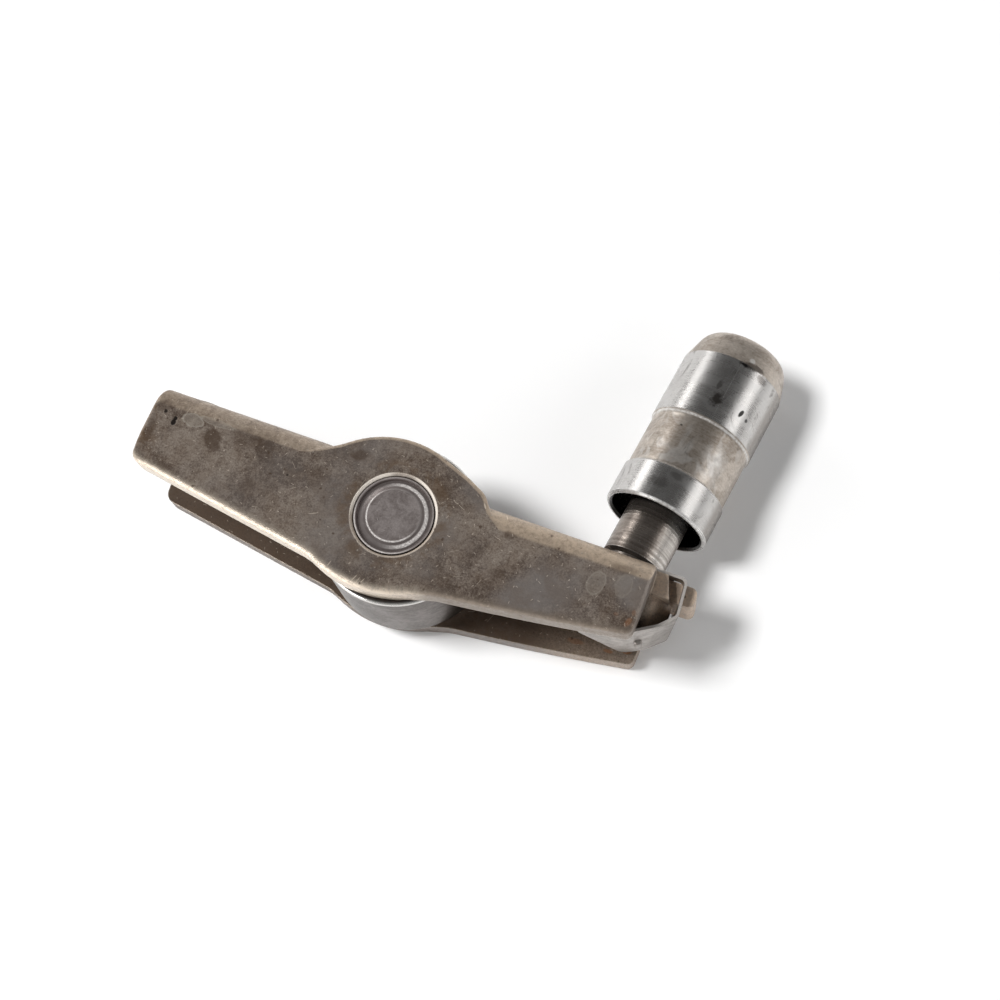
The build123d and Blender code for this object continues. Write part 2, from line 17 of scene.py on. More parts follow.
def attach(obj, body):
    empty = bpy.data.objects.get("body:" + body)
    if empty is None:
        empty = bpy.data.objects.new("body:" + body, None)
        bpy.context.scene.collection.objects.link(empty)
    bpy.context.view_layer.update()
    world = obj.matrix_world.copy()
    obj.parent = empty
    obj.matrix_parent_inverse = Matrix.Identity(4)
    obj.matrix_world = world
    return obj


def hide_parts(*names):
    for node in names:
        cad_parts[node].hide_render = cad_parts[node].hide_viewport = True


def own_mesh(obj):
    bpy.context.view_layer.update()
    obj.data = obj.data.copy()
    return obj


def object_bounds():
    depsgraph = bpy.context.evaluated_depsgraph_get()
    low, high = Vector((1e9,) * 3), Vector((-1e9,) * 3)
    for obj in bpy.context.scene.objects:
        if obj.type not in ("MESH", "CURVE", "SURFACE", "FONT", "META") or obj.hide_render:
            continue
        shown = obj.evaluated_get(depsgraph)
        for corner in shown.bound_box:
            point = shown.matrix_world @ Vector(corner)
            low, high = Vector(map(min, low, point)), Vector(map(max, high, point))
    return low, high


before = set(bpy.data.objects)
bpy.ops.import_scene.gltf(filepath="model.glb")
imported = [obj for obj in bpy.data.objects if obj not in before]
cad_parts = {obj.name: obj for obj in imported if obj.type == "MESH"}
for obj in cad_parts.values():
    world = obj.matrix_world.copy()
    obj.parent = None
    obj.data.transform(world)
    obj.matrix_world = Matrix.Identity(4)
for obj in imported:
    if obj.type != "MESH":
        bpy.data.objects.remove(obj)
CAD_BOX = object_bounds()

LOG = logging.getLogger("rocker_arm")
MM = 0.001
PER_METRE = 1000.0
ZERO = (0.0, 0.0, 0.0)
UP = (0.0, 0.0, 1.0)
ONES = (1.0, 1.0, 1.0)

Socket = bpy.types.NodeSocket
Triple = tuple[float, float, float]
Span = tuple[float, float]
Spec = dict[str | int, object]


class Blend(Enum):
    """Kinds of Mix node: data type, number of the first input and number of the output."""

    NUMBERS = ("FLOAT", 2, 0)
    VECTORS = ("VECTOR", 4, 1)
    COLOURS = ("RGBA", 6, 2)


class Graph:
    """Writes nodes into one shader tree."""

    def __init__(self, tree: bpy.types.NodeTree) -> None:
        """Keep the tree that the nodes go into."""
        self.tree = tree

    def add(self, kind: str, values: Spec | None = None, **settings: object) -> bpy.types.Node:
        """Add one node.

        Args:
            kind: The node's type name, without its "ShaderNode" prefix.
            values: Values for the node's inputs, by name or number.
            settings: The node's own properties.

        Returns:
            The new node.
        """
        node = self.tree.nodes.new("ShaderNode" + kind)
        for name, setting in settings.items():
            setattr(node, name, setting)
        for name, value in (values or {}).items():
            self.feed(node.inputs[name], value)
        return node

    def feed(self, socket: Socket, value: object) -> None:
        """Link a socket, or set its value where the value is a plain one."""
        if isinstance(value, Value):
            self.tree.links.new(value.socket, socket)
        elif isinstance(value, tuple) and socket.type == "RGBA":
            socket.default_value = (*value, 1.0)
        else:
            socket.default_value = value

    def output(self, kind: str, values: Spec | None = None, which: str | int = 0,
               **settings: object) -> "Value":
        """One output of a new node, by name or number."""
        return Value(self, self.add(kind, values, **settings).outputs[which])

    def math(self, operation: str, first: object, second: object = 0.0,
             clamp: bool = False) -> "Value":
        """Result of a Math node."""
        return self.output("Math", {0: first, 1: second}, operation=operation, use_clamp=clamp)

    def vector(self, operation: str, first: object, second: object = ZERO,
               which: str | int = 0) -> "Value":
        """Result of a Vector Math node."""
        return self.output("VectorMath", {0: first, 1: second}, which, operation=operation)

    def mix(self, blend: Blend, share: object, first: object, second: object) -> "Value":
        """Blend of two numbers, vectors or colours."""
        data_type, place, which = blend.value
        values = {0: share, place: first, place + 1: second}
        return self.output("Mix", values, which, data_type=data_type)


@dataclass(frozen=True)
class Value:
    """What a node puts out, with the arithmetic that makes further nodes from it."""

    graph: Graph
    socket: Socket

    def __add__(self, other: object) -> "Value":
        """Sum."""
        return self.graph.math("ADD", self, other)

    def __radd__(self, other: object) -> "Value":
        """Sum, where a plain number comes first."""
        return self.graph.math("ADD", other, self)

    def __sub__(self, other: object) -> "Value":
        """Difference."""
        return self.graph.math("SUBTRACT", self, other)

    def __rsub__(self, other: object) -> "Value":
        """Difference, where a plain number comes first."""
        return self.graph.math("SUBTRACT", other, self)

    def __mul__(self, other: object) -> "Value":
        """Product."""
        return self.graph.math("MULTIPLY", self, other)

    def __truediv__(self, other: object) -> "Value":
        """Quotient."""
        return self.graph.math("DIVIDE", self, other)

    def __or__(self, other: object) -> "Value":
        """Greater of two masks."""
        return self.graph.math("MAXIMUM", self, other)

    def __ror__(self, other: object) -> "Value":
        """Greater of two masks, where a plain number comes first."""
        return self.graph.math("MAXIMUM", other, self)

    def __lt__(self, other: object) -> "Value":
        """One where this is the lesser, else zero."""
        return self.graph.math("LESS_THAN", self, other)

    def __abs__(self) -> "Value":
        """Size without its sign."""
        return self.graph.math("ABSOLUTE", self)

    def ease(self, low: float, high: float, start: float = 0.0, end: float = 1.0) -> "Value":
        """Smooth step from low to high, between two results."""
        values = {"Value": self, "From Min": low, "From Max": high, "To Min": start, "To Max": end}
        return self.graph.output("MapRange", values, interpolation_type="SMOOTHSTEP")

    def band(self, low: float, high: float, soft: float) -> "Value":
        """Mask that is one between low and high, with soft ends."""
        return self.ease(low - soft, low + soft) * self.ease(high - soft, high + soft, 1.0, 0.0)

    def between(self, first: object, second: object) -> "Value":
        """Number that goes from the first to the second as this goes from zero to one."""
        return self.graph.mix(Blend.NUMBERS, self, first, second)

    def tint(self, first: object, second: object) -> "Value":
        """Colour that goes from the first to the second as this goes from zero to one."""
        return self.graph.mix(Blend.COLOURS, self, first, second)

    def coat(self, mask: "Value", colour: object) -> "Value":
        """This colour with another laid over it where the mask is."""
        return mask.tint(self, colour)

    def parts(self) -> tuple["Value", ...]:
        """X, Y and Z of a vector."""
        node = self.graph.add("SeparateXYZ", {0: self})
        return tuple(Value(self.graph, socket) for socket in node.outputs)

    def stretch(self, factors: Triple) -> "Value":
        """A vector with each of its parts multiplied."""
        return self.graph.vector("MULTIPLY", self, factors)

    def minus(self, other: object) -> "Value":
        """Difference of two vectors."""
        return self.graph.vector("SUBTRACT", self, other)

    def along(self, way: object) -> "Value":
        """Dot product with a way."""
        return self.graph.vector("DOT_PRODUCT", self, way, "Value")

    def turned(self, centre: object, angle: object) -> "Value":
        """A vector turned about Z, round a centre."""
        values = {"Vector": self, "Center": centre, "Angle": angle}
        return self.graph.output("VectorRotate", values, rotation_type="Z_AXIS")

    def hypot(self, other: "Value") -> "Value":
        """Length of a flat vector, from its two parts."""
        return self.graph.math("SQRT", self * self + other * other)

    def noise(self, scale: object, detail: float = 3.0, rough: float = 0.55,
              bend: float = 0.0) -> "Value":
        """Value of a noise texture at a place, about 0.3 to 0.7."""
        values = {
            "Vector": self, "Scale": scale, "Detail": detail, "Roughness": rough,
            "Distortion": bend,
        }
        return self.graph.output("TexNoise", values)

    def tones(self, *stops: tuple[float, Triple]) -> "Value":
        """Colour ramp through (place, colour) stops."""
        node = self.graph.add("ValToRGB", {0: self})
        elements = node.color_ramp.elements
        while len(elements) < len(stops):
            elements.new(1.0)
        for element, (place, colour) in zip(elements, stops):
            element.position = place
            element.color = (*colour, 1.0)
        return Value(self.graph, node.outputs[0])


class Effect(Enum):
    """Surface effects that several finishes share, and the name of each one's node group."""

    MOTTLE = "mottled_tone"
    GRAIN = "fine_grain"
    SCRATCHES = "short_scratches"
    FLECKS = "flecks"
    SPOT = "spot"
    WORN_EDGE = "worn_edge"
    FACING_RIM = "rubbed_rim"
    TURNED = "turned_rings"


@dataclass
class EffectShelf:
    """The shared effects, each built once as a shader node group."""

    groups: dict[Effect, bpy.types.NodeTree] = field(default_factory=dict)

    def build(self) -> None:
        """Make every effect's node group."""
        makers = {
            Effect.MOTTLE: self.mottle, Effect.GRAIN: self.grain,
            Effect.SCRATCHES: self.scratches, Effect.FLECKS: self.flecks,
            Effect.SPOT: self.spot, Effect.WORN_EDGE: self.worn_edge,
            Effect.FACING_RIM: self.rubbed_rim, Effect.TURNED: self.turned,
        }
        for effect, maker in makers.items():
            self.groups[effect] = maker(effect.value)

    def start(self, name: str, **inputs: object) -> tuple[Graph, tuple[Value, ...]]:
        """Open a new node group.

        Args:
            name: The group's name.
            inputs: Default value of each input; a tuple makes a vector input.

        Returns:
            The group's graph and its inputs, in order.
        """
        tree = bpy.data.node_groups.new(name, "ShaderNodeTree")
        for label, value in inputs.items():
            kind = "NodeSocketVector" if isinstance(value, tuple) else "NodeSocketFloat"
            socket = tree.interface.new_socket(label, in_out="INPUT", socket_type=kind)
            socket.default_value = value
        graph = Graph(tree)
        given = tree.nodes.new("NodeGroupInput")
        return graph, tuple(Value(graph, given.outputs[label]) for label in inputs)

    def end(self, graph: Graph, **results: Value) -> bpy.types.NodeTree:
        """Give a node group its outputs; one called Normal is a vector, the rest are numbers."""
        for label in results:
            kind = "NodeSocketVector" if label == "Normal" else "NodeSocketFloat"
            graph.tree.interface.new_socket(label, in_out="OUTPUT", socket_type=kind)
        end = graph.tree.nodes.new("NodeGroupOutput")
        for label, value in results.items():
            graph.feed(end.inputs[label], value)
        return graph.tree

    def mottle(self, name: str) -> bpy.types.NodeTree:
        """Cloudy tone in two sizes, as steel has after years in oil."""
        graph, (place, scale) = self.start(name, Vector=ZERO, Scale=0.15)
        broad = place.noise(scale, 4.0, 0.6, 0.6).ease(0.32, 0.68)
        fine = place.noise(scale * 9.0, 4.0, 0.68, 0.2).ease(0.3, 0.7)
        return self.end(graph, Broad=broad, Fine=fine)

    def grain(self, name: str) -> bpy.types.NodeTree:
        """Fine uneven surface of tumbled or rolled steel."""
        graph, (place, scale) = self.start(name, Vector=ZERO, Scale=5.0)
        small = place.noise(scale, 3.0, 0.6)
        large = place.noise(scale * 0.22, 2.0, 0.5)
        return self.end(graph, Height=graph.mix(Blend.NUMBERS, 0.35, small, large))

    def scratches(self, name: str) -> bpy.types.NodeTree:
        """Short straight scratches, one to a cell, each turned its own way."""
        graph, (place, scale, width, length, cover) = self.start(
            name, Vector=ZERO, Scale=0.5, Width=0.02, Length=0.7, Cover=0.5
        )
        cells = graph.add(
            "TexVoronoi", {"Vector": place, "Scale": scale}, voronoi_dimensions="2D"
        ).outputs
        spread, chance, reach = Value(graph, cells["Color"]).parts()
        middle = Value(graph, cells["Position"])
        along, across, _ = place.turned(middle, spread * math.tau).minus(middle).parts()
        inside = abs(along) * scale < length * (reach * 0.8 + 0.5)
        line = 1.0 - graph.math("DIVIDE", abs(across) * scale, width, clamp=True)
        return self.end(graph, Mask=inside * line * (chance < cover))

    def flecks(self, name: str) -> bpy.types.NodeTree:
        """Small ragged spots of uneven size."""
        graph, (place, scale, size, cover) = self.start(
            name, Vector=ZERO, Scale=1.0, Size=0.2, Cover=0.5
        )
        cells = graph.add("TexVoronoi", {"Vector": place, "Scale": scale}).outputs
        chance, share, _ = Value(graph, cells["Color"]).parts()
        ragged = place.noise(scale * 5.0, 2.0)
        distance = Value(graph, cells["Distance"]) + ragged * 0.25 - 0.12
        spot = 1.0 - graph.math("DIVIDE", distance, size * (share + 0.3), clamp=True)
        return self.end(graph, Mask=spot.ease(0.0, 0.5) * (chance < cover))

    def spot(self, name: str) -> bpy.types.NodeTree:
        """One oval mark at a stated place, seen along Z, with a ragged edge."""
        graph, (place, centre, turn, size, softness, raggedness) = self.start(
            name, Vector=ZERO, Centre=ZERO, Turn=0.0, Size=ONES, Softness=0.3, Raggedness=0.3
        )
        offset = place.turned(centre, turn).minus(centre)
        flat = graph.vector("DIVIDE", offset, size).stretch((1.0, 1.0, 0.0))
        ragged = place.noise(1.6, 3.0, 0.6) - 0.5
        reach = graph.vector("LENGTH", flat, which="Value") + ragged * raggedness * 2.0
        fade = (reach - 1.0) / softness
        return self.end(graph, Mask=fade.ease(-0.5, 0.5, 1.0, 0.0), Reach=reach)

    def worn_edge(self, name: str) -> bpy.types.NodeTree:
        """Mask along a piece's own edges, worn bright by handling, and their rounded normal."""
        graph, (radius,) = self.start(name, Radius=0.0002)
        softened = graph.output("Bevel", {"Radius": radius}, samples=4)
        surface = graph.output("NewGeometry", which="Normal")
        agree = softened.along(surface)
        normal = graph.mix(Blend.VECTORS, agree.ease(0.998, 0.98), surface, softened)
        return self.end(graph, Mask=agree.ease(0.97, 0.82), Normal=normal)

    def rubbed_rim(self, name: str) -> bpy.types.NodeTree:
        """Broad mask and normal along the rims that look one way, drawn over by the blanking."""
        graph, (radius, way) = self.start(name, Radius=0.0012, Way=(0.0, -1.0, 0.0))
        softened = graph.output("Bevel", {"Radius": radius}, samples=8)
        return self.end(graph, Mask=softened.along(way).ease(0.02, 0.42), Normal=softened)

    def turned(self, name: str) -> bpy.types.NodeTree:
        """Fine even lines of a turned or ground surface, along one measured place."""
        graph, (place, scale) = self.start(name, Place=0.0, Scale=8.0)
        values = {"W": place * scale, "Scale": 1.0, "Detail": 4.0}
        fine = graph.output("TexNoise", values, noise_dimensions="1D")
        return self.end(graph, Lines=fine.ease(0.25, 0.75))


SHELF = EffectShelf()


@dataclass
class Finish:
    """A material under work: its graph, its coordinates in millimetres and its normal."""

    material: bpy.types.Material
    graph: Graph
    place: Value
    normal: Value

    @classmethod
    def open(cls, name: str) -> "Finish":
        """Start a material whose coordinates are in millimetres."""
        material = bpy.data.materials.new(name + "_finish")
        material.use_nodes = True
        graph = Graph(material.node_tree)
        given = graph.add("TexCoord").outputs
        place = Value(graph, given["Object"]).stretch((PER_METRE, PER_METRE, PER_METRE))
        return cls(material, graph, place, Value(graph, given["Normal"]))

    def effect(self, effect: Effect, **values: object) -> tuple[Value, ...]:
        """Place a shared effect in the material.

        Args:
            effect: Which effect.
            values: The group's inputs; its Vector is the material's own unless it is given.

        Returns:
            The group's outputs, in order.
        """
        group = SHELF.groups[effect]
        if any(item.name == "Vector" for item in group.interface.items_tree):
            values.setdefault("Vector", self.place)
        node = self.graph.add("Group", node_tree=group)
        for name, value in values.items():
            self.graph.feed(node.inputs[name], value)
        return tuple(Value(self.graph, socket) for socket in node.outputs)

    def close(self, colour: object, rough: object, metal: object, height: object, lift: float,
              normal: Value | None = None) -> bpy.types.Material:
        """Feed the shader.

        Args:
            colour: Base colour.
            rough: Roughness.
            metal: Metallic.
            height: Height for the bump, about zero to one.
            lift: Depth in millimetres of a height of one.
            normal: Rounded normal that the bump starts from, or None for the surface's own.

        Returns:
            The finished material.
        """
        values = {"Height": height, "Strength": 1.0, "Distance": lift * MM}
        if normal is not None:
            values["Normal"] = normal
        bump = self.graph.output("Bump", values)
        shader = self.material.node_tree.nodes["Principled BSDF"].inputs
        fed = {"Base Color": colour, "Roughness": rough, "Metallic": metal, "Normal": bump}
        for name, value in fed.items():
            self.graph.feed(shader[name], value)
        return self.material


@dataclass(frozen=True)
class Mark:
    """One oval mark, seen along Z: its place and half sizes in millimetres."""

    x: float
    y: float
    width: float
    height: float
    turn: float = 0.0
    softness: float = 0.5
    raggedness: float = 0.25
    strength: float = 0.7

    def draw(self, work: Finish, **where: Value) -> tuple[Value, Value]:
        """Mask and reach of the mark, on the material's own coordinates unless Vector is given."""
        return work.effect(
            Effect.SPOT, Centre=(self.x, self.y, 0.0), Turn=-math.radians(self.turn),
            Size=(self.width, self.height, 1.0), Softness=self.softness,
            Raggedness=self.raggedness, **where,
        )


def draw_all(work: Finish, marks: tuple[Mark, ...], **where: Value) -> Value:
    """Greatest of several marks' masks, each at its own strength."""
    result = 0.0
    for mark in marks:
        result = result | mark.draw(work, **where)[0] * mark.strength
    return result


@dataclass(frozen=True)
class ArmSite:
    """What the layers of the arm's finish read at each place on the arm."""

    work: Finish
    x: Value
    y: Value
    z: Value
    radius: Value
    facing_y: Value
    facing_z: Value
    fine: Value
    speck: Value
    uneven: Value


@dataclass(frozen=True)
class ArmSteel:
    """Pressed sheet steel, dulled brown by oil, with painted highlight on its rims and folds, the
    rims partly worn, painted shade in its channel and on its far cheek, and painted light at its
    open end.
    """

    width: float
    sheet: float
    tongue_x: float
    sink_radius: float = 4.66
    hub_reach: Span = (5.3, 6.2)
    near_rim: Span = (12.5, 13.5)
    rim_fades: Span = (1.5, 7.0)
    open_stretch: Span = (14.0, 22.0)
    dark: Triple = (0.105, 0.077, 0.060)
    middle: Triple = (0.225, 0.180, 0.147)
    light: Triple = (0.360, 0.302, 0.252)
    # Painted light on the far cheek's open end and on the tongue.
    grey: Triple = (0.250, 0.225, 0.210)
    open_end_light: Triple = (0.66, 0.51, 0.385)
    # Painted shade on the right arm's lower rim.
    tan: Triple = (0.150, 0.115, 0.088)
    # Painted highlight on the lower rims, also the colour of worn edges and scuffs.
    rim: Triple = (0.78, 0.67, 0.55)
    glint: Triple = (0.95, 0.87, 0.78)
    # Painted highlight on the bends.
    fold_highlight: Triple = (0.56, 0.445, 0.335)
    varnish: Triple = (0.150, 0.092, 0.050)
    # Painted shade, darker brown, on the channel's inner faces.
    inside: Triple = (0.150, 0.098, 0.062)
    stain: Triple = (0.085, 0.053, 0.034)
    rust: Triple = (0.42, 0.19, 0.085)
    pale: Triple = (0.46, 0.41, 0.35)
    # Colour of the pits, also used as painted shade inside the countersink.
    pit: Triple = (0.02, 0.015, 0.012)
    pits: tuple[Mark, ...] = (
        Mark(-26.64, 3.85, 0.26, 0.34, 0.0, 0.4, 0.15, 1.0),
        Mark(-26.58, 4.3, 0.2, 0.26, 0.0, 0.4, 0.15, 1.0),
        Mark(-27.92, 4.87, 0.17, 0.2, 0.0, 0.5, 0.2, 0.9),
        Mark(-12.4, 1.3, 0.12, 0.12, 0.0, 0.5, 0.2, 0.7),
    )
    stains: tuple[Mark, ...] = (
        Mark(-21.82, 3.09, 0.95, 1.2, 20.0, 0.5, 0.45, 0.75),
        Mark(-21.2, 2.3, 0.6, 0.5, 0.0, 0.5, 0.4, 0.6),
        Mark(-5.55, 5.47, 1.0, 0.55, 20.0, 0.8, 0.5, 0.6),
        Mark(-28.9, 2.4, 0.5, 1.6, 0.0, 1.0, 0.6, 0.5),
        Mark(-28.2, 5.6, 0.9, 0.7, 0.0, 1.0, 0.6, 0.5),
        Mark(-17.5, 4.0, 2.6, 0.9, -6.0, 1.2, 0.6, 0.35),
        Mark(25.0, 0.6, 1.4, 0.5, 0.0, 1.0, 0.6, 0.4),
        Mark(12.5, 1.0, 0.6, 0.4, 0.0, 0.8, 0.5, 0.5),
    )
    blotches: tuple[Mark, ...] = (
        Mark(-24.6, 4.6, 1.3, 0.72, -6.0, 0.5, 0.35, 0.85),
        Mark(-21.8, 4.95, 2.0, 0.4, -6.0, 0.7, 0.5, 0.6),
        Mark(22.55, -1.59, 0.95, 1.35, -12.0, 0.3, 0.16, 0.5),
        Mark(25.35, -1.15, 0.85, 1.3, -12.0, 0.4, 0.3, 0.32),
    )
    rust_patches: tuple[Mark, ...] = (
        Mark(26.78, -4.69, 0.28, 0.5, -20.0, 0.9, 0.6, 0.38),
        Mark(27.1, -3.6, 0.2, 0.3, 0.0, 0.9, 0.6, 0.22),
        Mark(25.4, -4.2, 0.25, 0.2, 0.0, 0.9, 0.6, 0.18),
    )
    far_rust: tuple[Mark, ...] = (
        Mark(26.29, -4.58, 0.55, 0.22, 0.0, 0.9, 0.6, 0.8),
        Mark(24.3, -5.0, 0.5, 0.2, 0.0, 0.9, 0.6, 0.6),
        Mark(20.6, -4.9, 0.9, 0.3, 0.0, 0.9, 0.6, 0.4),
    )
    scuffs: tuple[Mark, ...] = (
        Mark(-2.0, -7.95, 0.05, 0.75, -28.0, 0.6, 0.1, 0.9),
        Mark(-1.5, -8.0, 0.04, 0.6, -24.0, 0.6, 0.1, 0.8),
        Mark(-1.0, -7.9, 0.05, 0.5, -30.0, 0.6, 0.1, 0.8),
        Mark(-4.9, -6.9, 0.05, 0.4, -20.0, 0.6, 0.1, 0.7),
        Mark(9.1, 3.4, 0.08, 0.35, 30.0, 0.6, 0.2, 0.9),
        Mark(9.5, 4.1, 0.06, 0.3, 20.0, 0.6, 0.2, 0.8),
        Mark(11.6, 3.0, 0.3, 0.06, -60.0, 0.6, 0.2, 0.8),
        Mark(-8.4, -2.1, 0.05, 0.5, -70.0, 0.6, 0.1, 0.5),
    )

    def build(self) -> bpy.types.Material:
        """Make the arm's material, layer by layer."""
        work = Finish.open("arm_steel")
        x, y, z = work.place.parts()
        _, facing_y, facing_z = work.normal.parts()
        broad, fine = work.effect(Effect.MOTTLE, Scale=0.17)
        speck = work.place.noise(4.6, 5.0, 0.8).ease(0.3, 0.7)
        uneven = 0.45 + fine * 0.45 + speck * 0.35
        site = ArmSite(work, x, y, z, x.hypot(y), facing_y, facing_z, fine, speck, uneven)
        tone = broad * 0.34 + fine * 0.24 + speck * 0.42
        # Mask of the rims that face the lower left lamp; painted highlight and painted shade are
        # laid on it.
        lamp_facing, rubbed_normal = work.effect(Effect.FACING_RIM, Radius=0.0013, Way=(0.0, -1.0, 0.0))
        rim_highlight = self.painted_rim_highlight(site, lamp_facing)

        colour = self.aged(site, tone)
        # Painted shade, a darker tan, on the right arm's lower rim; painted highlight, partly wear,
        # on the left arm's lower rim.
        rim_shade = lamp_facing * x.ease(*self.rim_fades) * z.ease(*self.near_rim) * 0.8
        colour = colour.coat(rim_shade, self.tan).coat(rim_highlight, self.rim)
        # Painted highlight on the bends and the web that face the valve's side.
        colour = colour.coat(self.valve_side_highlight(site), self.fold_highlight)
        # Painted shade on the channel's inner faces, lighter towards the open end.
        colour = colour.coat(self.channel_shade(site), self.inside)
        # Painted shade: the far cheek, at the bottom, is darkened.
        colour = colour.coat(z.ease(3.4, 2.8) * 0.45, self.dark)
        # Painted light: a paler tan on the far cheek's open end and on the tongue and nose, where
        # light reaches in.
        far_end_light = x.ease(*self.open_stretch) * z.ease(4.2, 3.2) * (0.1 + speck * 0.5)
        colour = colour.coat(far_end_light, self.open_end_light)
        tongue = x.ease(self.tongue_x + 0.3, self.tongue_x + 1.5) * z.band(3.6, 13.4, 0.1)
        colour = colour.coat(tongue * (0.35 + fine * 0.3 + speck * 0.35), self.open_end_light)
        near, far = self.on_near_cheek(site), self.on_far_cheek(site)
        colour = colour.coat(draw_all(work, self.stains) * near, self.stain)
        colour = colour.coat(draw_all(work, self.rust_patches) * near, self.rust)
        colour = colour.coat(draw_all(work, self.far_rust) * far, self.rust)
        colour = self.blotched(site, colour)
        # Painted glint on the countersink's slope, brightest on the upper sides, and painted shade,
        # near black, inside it.
        sink = site.radius.band(self.sink_radius - 0.22, self.sink_radius + 0.07, 0.06) * near
        colour = self.countersunk(site, colour, sink)
        pitted = draw_all(work, self.pits) * near
        colour = colour.coat(pitted, self.pit)

        scratched = self.scratched(site)
        scuffed = scratched * 0.55 | draw_all(work, self.scuffs) * near
        (flecks,) = work.effect(Effect.FLECKS, Scale=0.9, Size=0.17, Cover=0.4)
        (crumbs,) = work.effect(Effect.FLECKS, Scale=1.5, Size=0.13, Cover=0.4)
        colour = colour.coat(scuffed, self.rim).coat(flecks * 0.7, self.stain)
        colour = colour.coat(crumbs * x.ease(10.0, 20.0, 0.6, 1.0), self.pale)
        edge, edge_normal = work.effect(Effect.WORN_EDGE, Radius=0.00022)
        worn = edge * 0.85 * uneven
        colour = colour.coat(worn, self.rim)

        polish = rim_highlight | worn
        rough = polish.between(tone.ease(0.2, 0.8, 0.52, 0.38), 0.3)
        metal = polish.between(0.5, 0.7) * (1.0 - (sink | tongue) * 0.85)
        (grain,) = work.effect(Effect.GRAIN, Scale=3.2)
        height = grain + scratched * -0.5 + pitted * -4.0 + crumbs * 0.8
        drawn = lamp_facing * z.ease(8.0, 9.0) * site.radius.ease(*self.hub_reach)
        drawn = drawn * x.ease(*self.rim_fades, 1.0, 0.3)
        normal = work.graph.mix(Blend.VECTORS, drawn, edge_normal, rubbed_normal)
        return work.close(colour, rough, metal, height, 0.06, normal)

    def aged(self, site: ArmSite, tone: Value) -> Value:
        """Bare colour, with greyer patches and varnish round the axle and at the end."""
        place = site.work.place
        colour = tone.tones((0.28, self.dark), (0.52, self.middle), (0.77, self.light))
        patch = place.noise(0.11, 2.0, 0.5).ease(0.4, 0.62)
        colour = colour.coat(patch * site.x.ease(-26.0, 14.0, 0.2, 0.8), self.grey)
        near_axle = site.radius.band(4.7, 6.2, 0.5) * 0.8
        at_end = site.x.ease(-26.5, -29.5)
        brown = place.noise(0.42, 4.0, 0.66, 0.4).ease(0.42, 0.62)
        return colour.coat(brown * (near_axle | at_end | 0.28) * 0.7, self.varnish)

    def painted_rim_highlight(self, site: ArmSite, lamp_facing: Value) -> Value:
        """Mask of the near cheek's lower rim, where a highlight is painted, with some polish from
        wear.
        """
        reach = site.z.ease(*self.near_rim) * site.radius.ease(*self.hub_reach)
        reach = reach * site.x.ease(*self.rim_fades, 1.15, 0.16)
        return site.work.graph.math("MULTIPLY", lamp_facing, site.uneven * reach, clamp=True)

    def valve_side_highlight(self, site: ArmSite) -> Value:
        """Mask of the bends and the web on the valve's side, where a lighter tone is painted as
        highlight.
        """
        off_middle = abs(site.z - self.width / 2)
        valve_side = site.facing_y.ease(0.03, 0.16) * off_middle.ease(4.2, 6.6, 0.3, 1.0)
        return valve_side * site.uneven * site.x.ease(-14.0, 9.0, 0.5, 0.95)

    def channel_shade(self, site: ArmSite) -> Value:
        """Mask of the channel's inner faces, painted a darker brown as shade."""
        between = site.z.band(self.sheet + 0.2, self.width - self.sheet - 0.2, 0.1)
        tilt = abs(site.facing_z)
        below_web = 1.0 - site.facing_y.ease(0.1, 0.35) * tilt.ease(0.6, 0.4)
        inner_face = site.z.ease(4.0, 3.0) * site.facing_z.ease(0.5, 0.8)
        hidden = (between | inner_face) * below_web * site.y.ease(5.9, 5.5)
        inner = hidden * site.x.ease(self.tongue_x - 2.5, self.tongue_x, 1.0, 0.0)
        shade_strength = site.x.ease(-4.0, 8.0, 0.35, 0.55) + site.fine * 0.3 + site.speck * 0.3
        shade_strength = shade_strength * site.x.ease(*self.open_stretch, 1.0, 0.4)
        return site.work.graph.math("MULTIPLY", inner, shade_strength, clamp=True)

    def blotched(self, site: ArmSite, colour: Value) -> Value:
        """Colour with the blotches laid over it: a faint pale fill and a paler outline."""
        face = self.on_near_cheek(site)
        for mark in self.blotches:
            reach = mark.draw(site.work)[1]
            outline = reach.band(0.84, 1.0, 0.1) * mark.strength
            fill = reach.ease(1.05, 0.8) * (mark.strength * 0.4)
            colour = colour.coat((outline | fill) * face, self.pale)
        return colour

    def countersunk(self, site: ArmSite, colour: Value, sink: Value) -> Value:
        """Colour with the countersink round the axle: painted shade inside it and a painted glint
        on its slope.
        """
        sink_shade = site.radius.band(3.9, self.sink_radius - 0.24, 0.06)
        colour = colour.coat(sink_shade * self.on_near_cheek(site) * 0.9, self.pit)
        upper_left = site.work.place.along((-0.86, 0.51, 0.0))
        upper_right = site.work.place.along((0.8, 0.6, 0.0))
        crescent = upper_left.ease(2.6, 4.3) | upper_right.ease(2.6, 4.4, 0.0, 0.9)
        return colour.coat(sink * (crescent | 0.25), self.glint)

    def scratched(self, site: ArmSite) -> Value:
        """Mask of the short and the long scratches, on faces that look up or down."""
        effect = site.work.effect
        (short,) = effect(Effect.SCRATCHES, Scale=0.95, Width=0.045, Length=0.13, Cover=0.5)
        (long,) = effect(Effect.SCRATCHES, Scale=0.4, Width=0.012, Length=0.3, Cover=0.16)
        return (short | long) * abs(site.facing_z).ease(0.35, 0.7)

    def on_near_cheek(self, site: ArmSite) -> Value:
        """Mask of the near cheek."""
        return site.z.ease(self.width - 2.6, self.width - 1.8)

    def on_far_cheek(self, site: ArmSite) -> Value:
        """Mask of the far cheek."""
        return site.z.ease(self.sheet + 0.6, self.sheet + 0.2)


